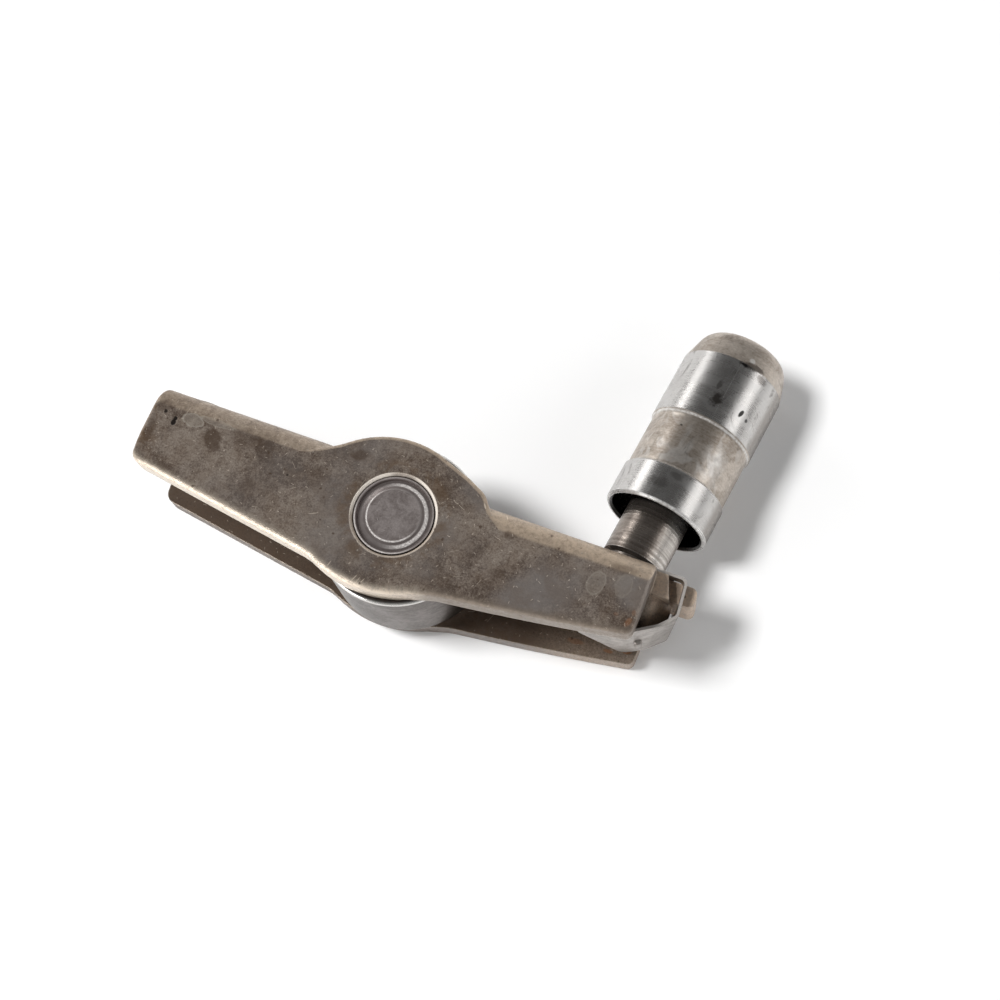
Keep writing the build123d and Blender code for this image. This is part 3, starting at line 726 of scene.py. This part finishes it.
@dataclass(frozen=True)
class AxleSteel:
    """Axle end: a ground boss, a staked ring round it and a thin lip."""

    boss_radius: float
    foot_radius: float
    lip_radius: float
    face: Triple = (0.60, 0.535, 0.515)
    worn: Triple = (0.26, 0.215, 0.20)
    # Painted highlight on the rings, also the colour of the scratches.
    chamfer: Triple = (0.86, 0.82, 0.79)
    slope: Triple = (0.24, 0.205, 0.195)
    groove: Triple = (0.20, 0.165, 0.155)
    # Painted shade in the gap beyond the lip.
    gap: Triple = (0.05, 0.038, 0.032)
    lower_left: Triple = (-0.5, -0.87, 0.0)
    right: Triple = (0.97, 0.25, 0.0)

    def build(self) -> bpy.types.Material:
        """Make the axle's material."""
        work = Finish.open("axle_steel")
        x, y, _ = work.place.parts()
        radius = x.hypot(y)
        broad, fine = work.effect(Effect.MOTTLE, Scale=0.6)
        tone = broad * 0.6 + fine * 0.4
        (scratched,) = work.effect(
            Effect.SCRATCHES, Scale=0.9, Width=0.022, Length=0.4, Cover=0.8
        )
        colour = (tone * 0.95).tint(self.face, self.worn).coat(scratched * 0.45, self.chamfer)
        slope = radius.band(self.boss_radius, self.foot_radius, 0.05)
        groove = radius.band(self.foot_radius, self.lip_radius - 0.2, 0.05)
        rings = work.graph.math("SINE", radius * 24.0).ease(-0.2, 1.0, 0.75, 1.0)
        colour = colour.coat(slope * 0.8, self.slope).coat(groove * rings, self.groove)
        # Painted highlights on the three rings.
        bright = self.lit_rings(work, radius) * (0.45 + fine * 0.55)
        colour = colour.coat(bright, self.chamfer)
        # Painted shade, near black, in the gap beyond the lip.
        colour = colour.coat(radius.ease(self.lip_radius - 0.02, self.lip_radius + 0.03), self.gap)
        (lines,) = work.effect(Effect.TURNED, Place=radius, Scale=6.0)
        height = lines * 0.4 + scratched * -1.0
        rough = bright.between(tone.ease(0.0, 1.0, 0.42, 0.32), 0.22)
        return work.close(colour, rough, bright.between(0.72, 0.1), height, 0.006)

    def lit_rings(self, work: Finish, radius: Value) -> Value:
        """Mask of the three rings' painted highlights, each brightest on the side that its slope
        turns to.
        """
        low_left = work.place.along(self.lower_left)
        to_right = work.place.along(self.right)
        inner = radius.band(self.boss_radius - 0.02, self.boss_radius + 0.15, 0.05)
        outer = radius.band(self.foot_radius - 0.46, self.foot_radius - 0.08, 0.07)
        lip = radius.band(self.lip_radius - 0.17, self.lip_radius - 0.03, 0.04)
        bright = inner * low_left.ease(-1.5, 1.6, 0.2, 1.0)
        bright = bright | outer * to_right.ease(-1.8, 1.6, 0.1, 1.0)
        return bright | lip * low_left.ease(0.5, 3.4, 0.2, 0.9)


@dataclass(frozen=True)
class RollerSteel:
    """Ground roller, satin, with fine lines round it."""

    base: Triple = (0.175, 0.149, 0.134)
    worn: Triple = (0.050, 0.039, 0.033)
    blot: Triple = (0.055, 0.042, 0.035)
    # Painted highlight on the rounded rims, and worn edges.
    rim: Triple = (0.80, 0.78, 0.75)

    def build(self) -> bpy.types.Material:
        """Make the roller's material."""
        work = Finish.open("roller_steel")
        _, _, z = work.place.parts()
        _, _, facing_z = work.normal.parts()
        broad, fine = work.effect(Effect.MOTTLE, Scale=0.28)
        (lines,) = work.effect(Effect.TURNED, Place=z, Scale=5.0)
        (blots,) = work.effect(Effect.FLECKS, Scale=0.6, Size=0.36, Cover=0.55)
        tone = broad * 0.35 + fine * 0.3 + lines * 0.35
        colour = tone.tint(self.worn, self.base).coat(blots * 0.6, self.blot)
        edge, _ = work.effect(Effect.WORN_EDGE, Radius=0.0003)
        # Painted highlight on the rounded rims that tilt between face and side, with wear along the
        # edges.
        rounding = abs(facing_z).band(0.25, 0.9, 0.1)
        colour = colour.coat((edge | rounding) * 0.75, self.rim)
        rough = rounding.between(tone.ease(0.1, 0.9, 0.4, 0.3), 0.18)
        return work.close(colour, rough, 0.9, lines * 0.5 + fine * 0.3, 0.005)


@dataclass(frozen=True)
class BearingSteel:
    """Polished needles and check ball, coated with old oil."""

    base: Triple = (0.62, 0.61, 0.60)
    darker_tone: Triple = (0.36, 0.30, 0.24)

    def build(self) -> bpy.types.Material:
        """Make the bearing's material."""
        work = Finish.open("bearing_steel")
        broad, _ = work.effect(Effect.MOTTLE, Scale=0.4)
        darker_tone = broad * 0.5
        (grain,) = work.effect(Effect.GRAIN, Scale=12.0)
        colour = darker_tone.tint(self.base, self.darker_tone)
        return work.close(colour, darker_tone.between(0.1, 0.3), 1.0, grain, 0.002)


@dataclass(frozen=True)
class ClipSteel:
    """Spring strip, dark from its heat treatment, bright along its cut edges."""

    base: Triple = (0.47, 0.435, 0.405)
    dark: Triple = (0.20, 0.175, 0.155)
    edge: Triple = (0.60, 0.565, 0.53)

    def build(self) -> bpy.types.Material:
        """Make the clip's material."""
        work = Finish.open("clip_steel")
        broad, fine = work.effect(Effect.MOTTLE, Scale=0.5)
        streaks = work.place.stretch((0.5, 0.5, 2.2)).noise(1.1, 3.0, 0.6, 0.8)
        tone = broad * 0.35 + fine * 0.3 + streaks.ease(0.3, 0.7) * 0.35
        _, _, facing_z = work.normal.parts()
        cut = abs(facing_z).ease(0.85, 0.97)
        edge, _ = work.effect(Effect.WORN_EDGE, Radius=0.00008)
        bright = cut * 0.7 | edge * 0.6
        colour = tone.tint(self.dark, self.base).coat(bright, self.edge)
        rough = bright.between(tone.ease(0.0, 1.0, 0.42, 0.28), 0.25)
        (grain,) = work.effect(Effect.GRAIN, Scale=6.0)
        return work.close(colour, rough, cut.between(0.85, 0.35), grain, 0.012)


@dataclass(frozen=True)
class TurnedFrame:
    """Place and lean of the lash adjuster's axis, for patterns that run round it."""

    centre: Triple = (24.0, 0.0, 8.25)
    axis: Vector = Vector((0.20044, 0.976466, -0.079616))

    def matrix(self) -> Matrix:
        """Place and turn of the adjuster's own frame, in metres."""
        side = self.axis.cross(Vector(UP)).normalized()
        turn = Matrix((side, self.axis.cross(side), self.axis)).transposed().to_4x4()
        return Matrix.Translation(Vector(self.centre) * MM) @ turn

    def local(self, work: Finish) -> tuple[Value, Value, Value, Value]:
        """Turn a material's coordinates into the adjuster's own.

        Args:
            work: The material under work.

        Returns:
            The local vector, the station along the axis, the radius and the angle.
        """
        turn = tuple(self.axis.to_track_quat("Z", "X").to_euler())
        values = {"Vector": work.place, "Location": self.centre, "Rotation": turn}
        local = work.graph.output("Mapping", values, vector_type="TEXTURE")
        x, y, station = local.parts()
        return local, station, x.hypot(y), work.graph.math("ARCTAN2", y, x)


@dataclass(frozen=True)
class AdjusterSteel:
    """Adjuster body: two ground lands, with a duller waist and closed end."""

    mouth: float
    lower_land_end: float
    upper_land_start: float
    upper_land_end: float
    bore_radius: float
    bore_floor: float
    unrolled_radius: float = 6.0
    land: Triple = (0.62, 0.605, 0.59)
    land_worn: Triple = (0.36, 0.34, 0.32)
    waist: Triple = (0.61, 0.545, 0.48)
    waist_dark: Triple = (0.26, 0.215, 0.175)
    stain: Triple = (0.075, 0.06, 0.05)
    # Painted shade inside the bore.
    bore: Triple = (0.022, 0.019, 0.017)
    edge: Triple = (0.88, 0.87, 0.85)
    # Painted shade down one side of the lands.
    darker_tone: Triple = (0.26, 0.235, 0.215)
    black: Triple = (0.012, 0.011, 0.010)
    axes: TurnedFrame = TurnedFrame()
    scratches: tuple[Mark, ...] = (
        Mark(0.93, 24.6, 0.035, 3.4, 0.0, 0.8, 0.1, 0.85),
        Mark(4.1, 16.6, 0.9, 1.5, 0.0, 1.6, 1.6, 0.28),
        Mark(2.3, 17.0, 0.5, 1.0, 0.0, 1.5, 1.6, 0.2),
        Mark(1.9, 29.3, 0.35, 0.3, 0.0, 0.7, 0.8, 0.5),
    )
    stains: tuple[Mark, ...] = (
        Mark(0.4, 23.2, 0.55, 0.75, 0.0, 1.1, 1.8, 0.8),
        Mark(-0.1, 24.8, 0.25, 0.6, 0.0, 0.9, 1.2, 0.5),
        Mark(2.3, 28.6, 1.5, 0.4, 10.0, 0.7, 0.7, 0.8),
        Mark(3.9, 27.9, 0.7, 0.45, 0.0, 0.9, 0.7, 0.6),
        Mark(-0.9, 11.5, 1.0, 0.5, 0.0, 1.1, 0.8, 0.4),
        Mark(0.6, 12.9, 0.7, 0.4, 0.0, 0.9, 0.8, 0.4),
    )
    burns: tuple[Mark, ...] = (
        Mark(3.57, 23.15, 0.22, 0.48, -15.0, 0.4, 0.3, 0.95),
        Mark(4.55, 22.9, 0.2, 0.22, 0.0, 0.5, 0.3, 0.8),
        Mark(1.3, 28.3, 0.35, 0.16, 0.0, 0.5, 0.6, 0.8),
    )

    def build(self) -> bpy.types.Material:
        """Make the adjuster's material."""
        work = Finish.open("adjuster_steel")
        local, station, radius, angle = self.axes.local(work)
        ground = station.band(self.mouth - 1.0, self.lower_land_end, 0.03)
        ground = ground | station.band(self.upper_land_start, self.upper_land_end, 0.03)
        broad, fine = work.effect(
            Effect.MOTTLE, Scale=0.3, Vector=local.stretch((1.0, 1.0, 1.6))
        )
        (lines,) = work.effect(Effect.TURNED, Place=station, Scale=9.0)
        tone = broad * 0.5 + fine * 0.35 + lines * 0.15
        smooth = broad * 0.6 + lines * 0.4
        dull = tone.tint(self.waist_dark, self.waist)
        bright = (smooth * 0.5).tint(self.land, self.land_worn)
        colour = ground.tint(dull, bright)
        colour = colour.coat(self.curls(local, station) * 0.35, self.edge)
        soot = local.stretch((1.0, 1.0, 0.45)).noise(0.75, 4.0, 0.7, 0.8)
        stained = soot.ease(0.57, 0.7) * ground.between(0.35, 0.5)
        runs = local.stretch((2.6, 2.6, 0.16)).noise(1.0, 3.0, 0.7).ease(0.6, 0.72)
        colour = colour.coat(stained, self.stain).coat(runs * ground * 0.4, self.edge)
        # Painted shade: a darker band down one side of the lands.
        colour = colour.coat(angle.band(1.12, 2.2, 0.13) * ground * 0.9, self.darker_tone)
        # Painted highlight on the step below the upper land and at the mouth, with low metal so
        # that it shows lit.
        step = station.band(self.upper_land_start - 0.34, self.upper_land_start - 0.12, 0.06)
        step = step | station.band(self.mouth - 0.05, self.mouth + 0.3, 0.05)
        step = step * (0.25 + fine * 0.5)
        (nicks,) = work.effect(Effect.FLECKS, Scale=0.5, Size=0.1, Cover=0.15)
        colour = colour.coat(step, self.edge).coat(nicks * 0.8, self.black)
        flat = {0: angle * self.unrolled_radius, 1: station}
        unrolled = work.graph.output("CombineXYZ", flat)
        colour = colour.coat(draw_all(work, self.scratches, Vector=unrolled), self.edge)
        colour = colour.coat(draw_all(work, self.stains, Vector=unrolled), self.stain)
        colour = colour.coat(draw_all(work, self.burns, Vector=unrolled), self.black)
        # Painted shade, near black, inside the body's hollow.
        inside = radius.ease(self.bore_radius + 0.27, self.bore_radius + 0.2)
        inside = inside * station.ease(self.bore_floor + 0.5, self.bore_floor + 0.2)
        edge, edge_normal = work.effect(Effect.WORN_EDGE, Radius=0.00022)
        worn = edge * (1.0 - inside) * 0.85
        colour = colour.coat(inside, self.bore).coat(worn, self.edge)
        land_rough = smooth.ease(0.1, 0.9, 0.32, 0.25)
        rough = ground.between(tone.ease(0.1, 0.9, 0.44, 0.32), land_rough)
        rough = stained.between(rough, 0.5)
        (grain,) = work.effect(Effect.GRAIN, Scale=5.0)
        height = ground.between(grain, lines * 0.12) + nicks * -1.5
        metal = ground.between(0.8, 0.97) * (1.0 - step * 0.7)
        return work.close(colour, rough, metal, height, 0.02, edge_normal)

    def curls(self, local: Value, station: Value) -> Value:
        """Mask of the pale curled lines on the waist."""
        curls = local.stretch((1.0, 1.0, 0.8)).noise(0.3, 2.0, 0.5, 0.9)
        patches = local.noise(0.16, 2.0, 0.5).ease(0.45, 0.62)
        on_waist = station.band(self.lower_land_end, self.upper_land_start, 0.1)
        return curls.band(0.44, 0.52, 0.03) * on_waist * patches


@dataclass(frozen=True)
class PlungerSteel:
    """Turned plunger, brown with oil, with fine rings and a painted highlight in a band down one
    side.
    """

    base: Triple = (0.40, 0.35, 0.31)
    dark: Triple = (0.13, 0.105, 0.088)
    light: Triple = (0.70, 0.67, 0.63)
    axes: TurnedFrame = TurnedFrame()

    def build(self) -> bpy.types.Material:
        """Make the plunger's material."""
        work = Finish.open("plunger_steel")
        local, station, _, angle = self.axes.local(work)
        (lines,) = work.effect(Effect.TURNED, Place=station, Scale=3.0)
        broad, fine = work.effect(Effect.MOTTLE, Scale=0.4, Vector=local)
        tone = broad * 0.35 + fine * 0.25 + lines * 0.4
        edge, _ = work.effect(Effect.WORN_EDGE, Radius=0.0002)
        (flecks,) = work.effect(Effect.FLECKS, Scale=1.4, Size=0.12, Cover=0.35)
        # Painted highlight in a band down one side of the plunger; the pale flecks are wear.
        lamp_facing = angle.band(0.6, 1.3, 0.2) * (0.25 + lines * 0.5)
        colour = tone.tint(self.dark, self.base).coat(edge * 0.6, self.light)
        colour = colour.coat(lamp_facing | flecks * 0.5, self.light)
        height = lines * 0.8 + fine * 0.4
        return work.close(colour, tone.ease(0.1, 0.9, 0.36, 0.24), 0.9, height, 0.01)


@dataclass(frozen=True)
class SpringWire:
    """Drawn wire, grey, with a light oil film."""

    base: Triple = (0.32, 0.31, 0.30)
    dark: Triple = (0.16, 0.145, 0.13)

    def build(self) -> bpy.types.Material:
        """Make the wire's material."""
        work = Finish.open("spring_wire")
        broad, fine = work.effect(Effect.MOTTLE, Scale=0.8)
        tone = broad * 0.6 + fine * 0.4
        (grain,) = work.effect(Effect.GRAIN, Scale=8.0)
        colour = tone.tint(self.dark, self.base)
        return work.close(colour, tone.ease(0.0, 1.0, 0.4, 0.28), 1.0, grain, 0.004)


@dataclass(frozen=True)
class Corner:
    """Corner of a turned outline: radius, height and the width of its rounding."""

    radius: float
    height: float
    rounding: float = 0.0


@dataclass(frozen=True)
class Spring:
    """Wire spring along the adjuster's axis. Its joint and closes_by are kept but not used: the
    spring does not close as the joint moves.
    """

    name: str
    node: str
    body: str
    joint: str
    wire_radius: float
    coil_radius: float
    start: float
    end: float
    turns: float
    closes_by: float


@dataclass
class SubAssembly:
    """Pieces that belong together, and the finish that each takes."""

    slots: dict[str, str] = field(default_factory=dict)

    def build(self) -> None:
        """Build the sub-assembly's own meshes, where it has any."""

    def finishes(self) -> dict[str, object]:
        """The finishes that this sub-assembly brings, by slot."""
        return {}

    def dress(self) -> None:
        """Make the finishes and give every piece its own."""
        made = {slot: finish.build() for slot, finish in self.finishes().items()}
        for name, slot in self.slots.items():
            mesh = self.piece(name).data
            mesh.materials.clear()
            mesh.materials.append(made[slot])
            LOG.info("dressed %s in %s", name, slot)

    def piece(self, name: str) -> bpy.types.Object:
        """A piece by name: a CAD node, or a piece that was built here."""
        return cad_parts.get(name) or bpy.data.objects[name]

    def turn(self, name: str, outline: tuple[Corner, ...], steps: int = 144) -> bpy.types.Mesh:
        """Turn a closed outline about the Z axis, with its corners rounded.

        Args:
            name: The mesh's name.
            outline: The outline's corners in order, in millimetres.
            steps: Number of faces round the turn.

        Returns:
            The turned mesh, in metres.
        """
        work = bmesh.new()
        ring = [work.verts.new((corner.radius * MM, 0.0, corner.height * MM)) for corner in outline]
        pairs = zip(ring, ring[1:] + ring[:1])
        sides = [work.edges.new(pair) for pair in pairs if any(vert.co.x > 0.0 for vert in pair)]
        bmesh.ops.spin(
            work, geom=ring + sides, cent=ZERO, axis=UP, dvec=ZERO, angle=math.tau, steps=steps,
            use_merge=True,
        )
        bmesh.ops.remove_doubles(work, verts=work.verts, dist=1e-7)
        for corner in outline:
            if corner.rounding:
                self.round_corner(work, corner)
        return self.finish_mesh(work, name, sharp=38.0)

    def round_corner(self, work: bmesh.types.BMesh, corner: Corner) -> None:
        """Bevel the ring of edges that one corner has turned."""
        def on_ring(vert: bmesh.types.BMVert, slack: float = 1e-3) -> bool:
            """Whether a vertex lies on the corner's ring, within some slack in millimetres."""
            place = vert.co / MM
            sideways = abs(math.hypot(place.x, place.y) - corner.radius)
            return max(sideways, abs(place.z - corner.height)) < slack

        edges = [edge for edge in work.edges if all(on_ring(vert) for vert in edge.verts)]
        bmesh.ops.bevel(
            work, geom=edges, offset=corner.rounding * MM, offset_type="OFFSET", affect="EDGES",
            segments=4, profile=0.5, material=-1, clamp_overlap=True,
        )

    def finish_mesh(self, work: bmesh.types.BMesh, name: str, sharp: float) -> bpy.types.Mesh:
        """Turn a worked shape into a mesh, smooth except on corners sharper than sharp degrees."""
        bmesh.ops.recalc_face_normals(work, faces=work.faces)
        mesh = bpy.data.meshes.new(name)
        work.to_mesh(mesh)
        work.free()
        mesh.shade_smooth()
        mesh.set_sharp_from_angle(angle=math.radians(sharp))
        return mesh

    def place(self, mesh: bpy.types.Mesh, body: str, slot: str, *nodes: str) -> bpy.types.Object:
        """Put a new piece in the scene in the stead of CAD nodes.

        Args:
            mesh: The piece's mesh, in the frame's own place.
            body: The body that it rides on.
            slot: The material slot that it takes its finish from; not used here.
            nodes: The CAD nodes that it stands for.

        Returns:
            The new piece.
        """
        piece = bpy.data.objects.new(mesh.name, mesh)
        bpy.context.scene.collection.objects.link(piece)
        shading = piece.modifiers.new("even_shading", "WEIGHTED_NORMAL")
        shading.keep_sharp = True
        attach(piece, body)
        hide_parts(*nodes)
        LOG.info("built %s, %d faces", piece.name, len(mesh.polygons))
        return piece


@dataclass
class FoldedArm(SubAssembly):
    """The stamping: two cheeks, the web, the socket and the tongue."""

    slots: dict[str, str] = field(default_factory=lambda: {"arm_body": "arm_steel"})
    width: float = 16.5
    sheet: float = 2.7
    tongue_start: float = 27.0

    def finishes(self) -> dict[str, object]:
        """The stamping's steel."""
        return {"arm_steel": ArmSteel(self.width, self.sheet, self.tongue_start)}


@dataclass
class RollerBearing(SubAssembly):
    """Roller, its needles and the axle that is staked in the cheeks."""

    slots: dict[str, str] = field(default_factory=lambda: {
        "turned_roller": "roller_steel", "staked_axle": "axle_steel",
        **{f"needle_{number:02d}": "bearing_steel" for number in range(1, 16)},
    })
    arm_width: float = 16.5
    roller_radius: float = 9.1
    roller_width: float = 10.5
    rim_round: float = 0.55
    bore_radius: float = 6.06
    bore_round: float = 0.2
    axle_radius: float = 4.0
    axle_depth: float = 0.9
    boss_radius: float = 2.85
    boss_offset: float = 0.15
    boss_round: float = 0.08
    foot_radius: float = 3.75
    stake_radius: float = 3.97
    stake_depth: float = 0.5
    stake_round: float = 0.05
    lip_radius: float = 4.3
    lip_offset: float = 0.18
    lip_round: float = 0.04

    def build(self) -> None:
        """Turn the roller and the axle."""
        roller = self.turn("turned_roller", self.roller_outline())
        self.place(roller, "roller", "roller_steel", "roller")
        axle = self.turn("staked_axle", self.axle_outline())
        self.place(axle, "arm", "axle_steel", "axle_pin")

    def finishes(self) -> dict[str, object]:
        """Steels of the roller, the axle and the needles."""
        axle = AxleSteel(self.boss_radius, self.foot_radius, self.lip_radius)
        return {"roller_steel": RollerSteel(), "axle_steel": axle, "bearing_steel": BearingSteel()}

    def roller_outline(self) -> tuple[Corner, ...]:
        """Ring with rounded rims."""
        low = (self.arm_width - self.roller_width) / 2
        high = low + self.roller_width
        return (
            Corner(self.bore_radius, low, self.bore_round),
            Corner(self.roller_radius, low, self.rim_round),
            Corner(self.roller_radius, high, self.rim_round),
            Corner(self.bore_radius, high, self.bore_round),
        )

    def axle_outline(self) -> tuple[Corner, ...]:
        """Pin with a boss, a staked ring and a spread lip at each end."""
        half = (
            Corner(0.0, self.boss_offset),
            Corner(self.boss_radius, self.boss_offset, self.boss_round),
            Corner(self.foot_radius, self.stake_depth, self.stake_round),
            Corner(self.stake_radius, self.stake_depth, self.stake_round),
            Corner(self.axle_radius, self.lip_offset, self.lip_round),
            Corner(self.lip_radius, self.lip_offset, self.lip_round),
            Corner(self.axle_radius, self.axle_depth, self.lip_round),
        )
        return half + tuple(
            Corner(one.radius, self.arm_width - one.height, one.rounding) for one in reversed(half)
        )


@dataclass
class BallJoint(SubAssembly):
    """Ball-ended plunger in the arm's socket, with the clip that holds it there."""

    slots: dict[str, str] = field(default_factory=lambda: {
        "retaining_clip": "clip_steel", "ball_plunger": "plunger_steel",
        "lower_piston": "plunger_steel", "check_ball_cage": "clip_steel",
    })

    def finishes(self) -> dict[str, object]:
        """Steels of the clip and the plunger."""
        return {"clip_steel": ClipSteel(), "plunger_steel": PlungerSteel()}


@dataclass
class LashAdjuster(SubAssembly):
    """Adjuster body with its ring, springs and check ball."""

    slots: dict[str, str] = field(default_factory=lambda: {
        "adjuster_body": "adjuster_steel", "retaining_ring": "spring_wire",
        "wound_return_spring": "spring_wire", "wound_valve_spring": "spring_wire",
        "check_ball": "bearing_steel",
    })
    mouth: float = 9.35
    lower_land_end: float = 13.7
    upper_land_start: float = 20.65
    upper_land_end: float = 28.5
    bore_radius: float = 5.35
    bore_floor: float = 28.9
    axes: TurnedFrame = TurnedFrame()
    springs: tuple[Spring, ...] = (
        Spring(
            "wound_return_spring", "return_spring", "adjuster", "adjuster_travel", wire_radius=0.4,
            coil_radius=3.6, start=22.8, end=28.88, turns=4.5, closes_by=2.2,
        ),
        Spring(
            "wound_valve_spring", "check_ball_spring", "plunger", "check_ball_lift",
            wire_radius=0.12, coil_radius=1.15, start=24.458, end=26.03, turns=3.0, closes_by=0.3,
        ),
    )

    def build(self) -> None:
        """Wind the springs."""
        for spring in self.springs:
            piece = self.place(self.wind(spring), spring.body, "spring_wire", spring.node)
            keep = 1.0 - spring.closes_by / (spring.end - spring.start)
            anchor = self.axes.matrix() @ Vector((0.0, 0.0, spring.end * MM))
            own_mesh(piece)

    def wind(self, spring: Spring, steps_per_turn: int = 32) -> bpy.types.Mesh:
        """Wind a round wire along the adjuster's axis.

        Args:
            spring: The spring's sizes and stations, in millimetres.
            steps_per_turn: Number of faces along one turn.

        Returns:
            The spring's mesh, in metres and in the frame's own place.
        """
        steps = round(spring.turns * steps_per_turn)
        rise = (spring.end - spring.start - 2 * spring.wire_radius) * MM / steps
        first = Vector((spring.coil_radius, 0.0, spring.start + spring.wire_radius)) * MM
        work = bmesh.new()
        bmesh.ops.create_circle(
            work, cap_ends=True, segments=12, radius=spring.wire_radius * MM,
            matrix=Matrix.Translation(first) @ Matrix.Rotation(math.pi / 2, 4, "X"),
        )
        bmesh.ops.spin(
            work, geom=work.verts[:] + work.edges[:] + work.faces[:], cent=ZERO, axis=UP,
            dvec=(0.0, 0.0, rise), angle=math.tau * spring.turns, steps=steps, use_merge=False,
        )
        bmesh.ops.transform(work, matrix=self.axes.matrix(), verts=work.verts)
        return self.finish_mesh(work, spring.name, sharp=60.0)

    def finishes(self) -> dict[str, object]:
        """Steels of the body, the wire parts and the check ball."""
        body = AdjusterSteel(
            self.mouth, self.lower_land_end, self.upper_land_start, self.upper_land_end,
            self.bore_radius, self.bore_floor,
        )
        return {
            "adjuster_steel": body, "spring_wire": SpringWire(), "bearing_steel": BearingSteel(),
        }


@dataclass(frozen=True)
class ViewPoint:
    """Camera that looks down on the near cheek, a little from the cam's side."""

    place: Vector = Vector((0.040244, -0.043989, 0.174188))
    right: Vector = Vector((0.95337896, 0.28741642, -0.09198023))
    up: Vector = Vector((-0.24376446, 0.91314261, 0.32672535))
    back: Vector = Vector((0.1778973, -0.28907157, 0.94063286))
    lens: float = 57.6
    sensor: float = 36.0
    nearest: float = 0.005
    farthest: float = 5.0

    def build(self) -> None:
        """Make the camera and set it as the scene's own."""
        data = bpy.data.cameras.new("view_camera")
        data.lens = self.lens
        data.sensor_width = self.sensor
        data.clip_start = self.nearest
        data.clip_end = self.farthest
        camera = bpy.data.objects.new("view_camera", data)
        turn = Matrix((self.right, self.up, self.back)).transposed().to_4x4()
        camera.matrix_world = Matrix.Translation(self.place) @ turn
        bpy.context.scene.collection.objects.link(camera)
        bpy.context.scene.camera = camera


@dataclass(frozen=True)
class Softbox:
    """One square area lamp that looks at the object."""

    name: str
    towards: Vector
    distance: float
    size: float
    radiance: float
    in_reflections: bool = True
    target: Vector = Vector((0.004, 0.006, 0.005))

    def build(self) -> None:
        """Make the lamp."""
        data = bpy.data.lights.new(self.name, "AREA")
        data.shape = "SQUARE"
        data.size = self.size
        data.energy = self.radiance * math.pi * self.size ** 2
        lamp = bpy.data.objects.new(self.name, data)
        lamp.location = self.target + self.towards.normalized() * self.distance
        lamp.rotation_euler = self.towards.to_track_quat("Z", "Y").to_euler()
        lamp.visible_glossy = self.in_reflections
        bpy.context.scene.collection.objects.link(lamp)


@dataclass(frozen=True)
class Studio:
    """Pale floor, a soft surround that is darker overhead, and the lamps."""

    floor_size: float = 1.6
    floor_colour: Triple = (0.96, 0.96, 0.96)
    floor_rough: float = 0.9
    floor_glow: float = 0.06
    glow_grows: Span = (0.12, 0.5)
    overhead: float = 0.08
    horizon: float = 0.44
    darkens: Span = (0.35, 0.75)
    lamps: tuple[Softbox, ...] = (
        Softbox("key_lamp", Vector((-0.47, -0.10, 0.88)), 1.1, 0.26, 48.0, False),
        Softbox("upper_left_lamp", Vector((-0.74, 0.55, 0.37)), 0.5, 0.16, 3.0),
        Softbox("lower_left_lamp", Vector((-0.56, -0.80, 0.22)), 0.5, 0.22, 4.3),
        Softbox("right_lamp", Vector((0.84, 0.28, 0.46)), 0.5, 0.20, 1.7),
        Softbox("right_fill", Vector((0.80, -0.35, 0.50)), 0.6, 0.30, 1.1, False),
    )

    def build(self) -> None:
        """Make the floor, the surround and the lamps."""
        self.build_floor()
        self.build_surround()
        for lamp in self.lamps:
            lamp.build()

    def build_floor(self) -> None:
        """Lay the floor under the object's lowest point."""
        work = bmesh.new()
        bmesh.ops.create_grid(
            work, x_segments=1, y_segments=1, size=self.floor_size / 2,
            matrix=Matrix.Translation((0.0, 0.0, CAD_BOX[0].z)),
        )
        mesh = bpy.data.meshes.new("floor")
        work.to_mesh(mesh)
        work.free()
        floor = bpy.data.objects.new("floor", mesh)
        bpy.context.scene.collection.objects.link(floor)
        mesh.materials.append(self.floor_paper())

    def floor_paper(self) -> bpy.types.Material:
        """White paper that keeps the shadow and glows, more so far away from the object."""
        material = bpy.data.materials.new("floor_paper")
        material.use_nodes = True
        graph = Graph(material.node_tree)
        ray = graph.add("LightPath").outputs
        seen = Value(graph, ray["Is Camera Ray"]) | Value(graph, ray["Is Glossy Ray"])
        x, y, _ = graph.output("TexCoord", which="Object").parts()
        glow = x.hypot(y).ease(*self.glow_grows, self.floor_glow, 1.0)
        fed = {
            "Base Color": self.floor_colour, "Roughness": self.floor_rough,
            "Specular IOR Level": 0.0, "Emission Color": ONES, "Emission Strength": seen * glow,
        }
        for name, value in fed.items():
            graph.feed(material.node_tree.nodes["Principled BSDF"].inputs[name], value)
        return material

    def build_surround(self) -> None:
        """Make the world: white to the camera, bright at the horizon and dimmer overhead."""
        world = bpy.data.worlds.new("studio")
        world.use_nodes = True
        graph = Graph(world.node_tree)
        _, _, rise = graph.output("TexCoord", which="Generated").parts()
        strength = rise.ease(*self.darkens, self.horizon, self.overhead)
        seen = graph.output("LightPath", which="Is Camera Ray")
        backdrop = world.node_tree.nodes["Background"].inputs
        graph.feed(backdrop["Color"], ONES)
        graph.feed(backdrop["Strength"], seen.between(strength, 1.0))
        bpy.context.scene.world = world


def main() -> None:
    """Build and dress each sub-assembly, then light the scene."""
    logging.basicConfig(level=logging.INFO, format="%(message)s")
    bpy.context.scene.view_settings.view_transform = "Standard"
    ViewPoint().build()
    SHELF.build()
    for assembly in (FoldedArm(), RollerBearing(), BallJoint(), LashAdjuster()):
        assembly.build()
        assembly.dress()
    Studio().build()


if __name__ == "__main__":
    main()
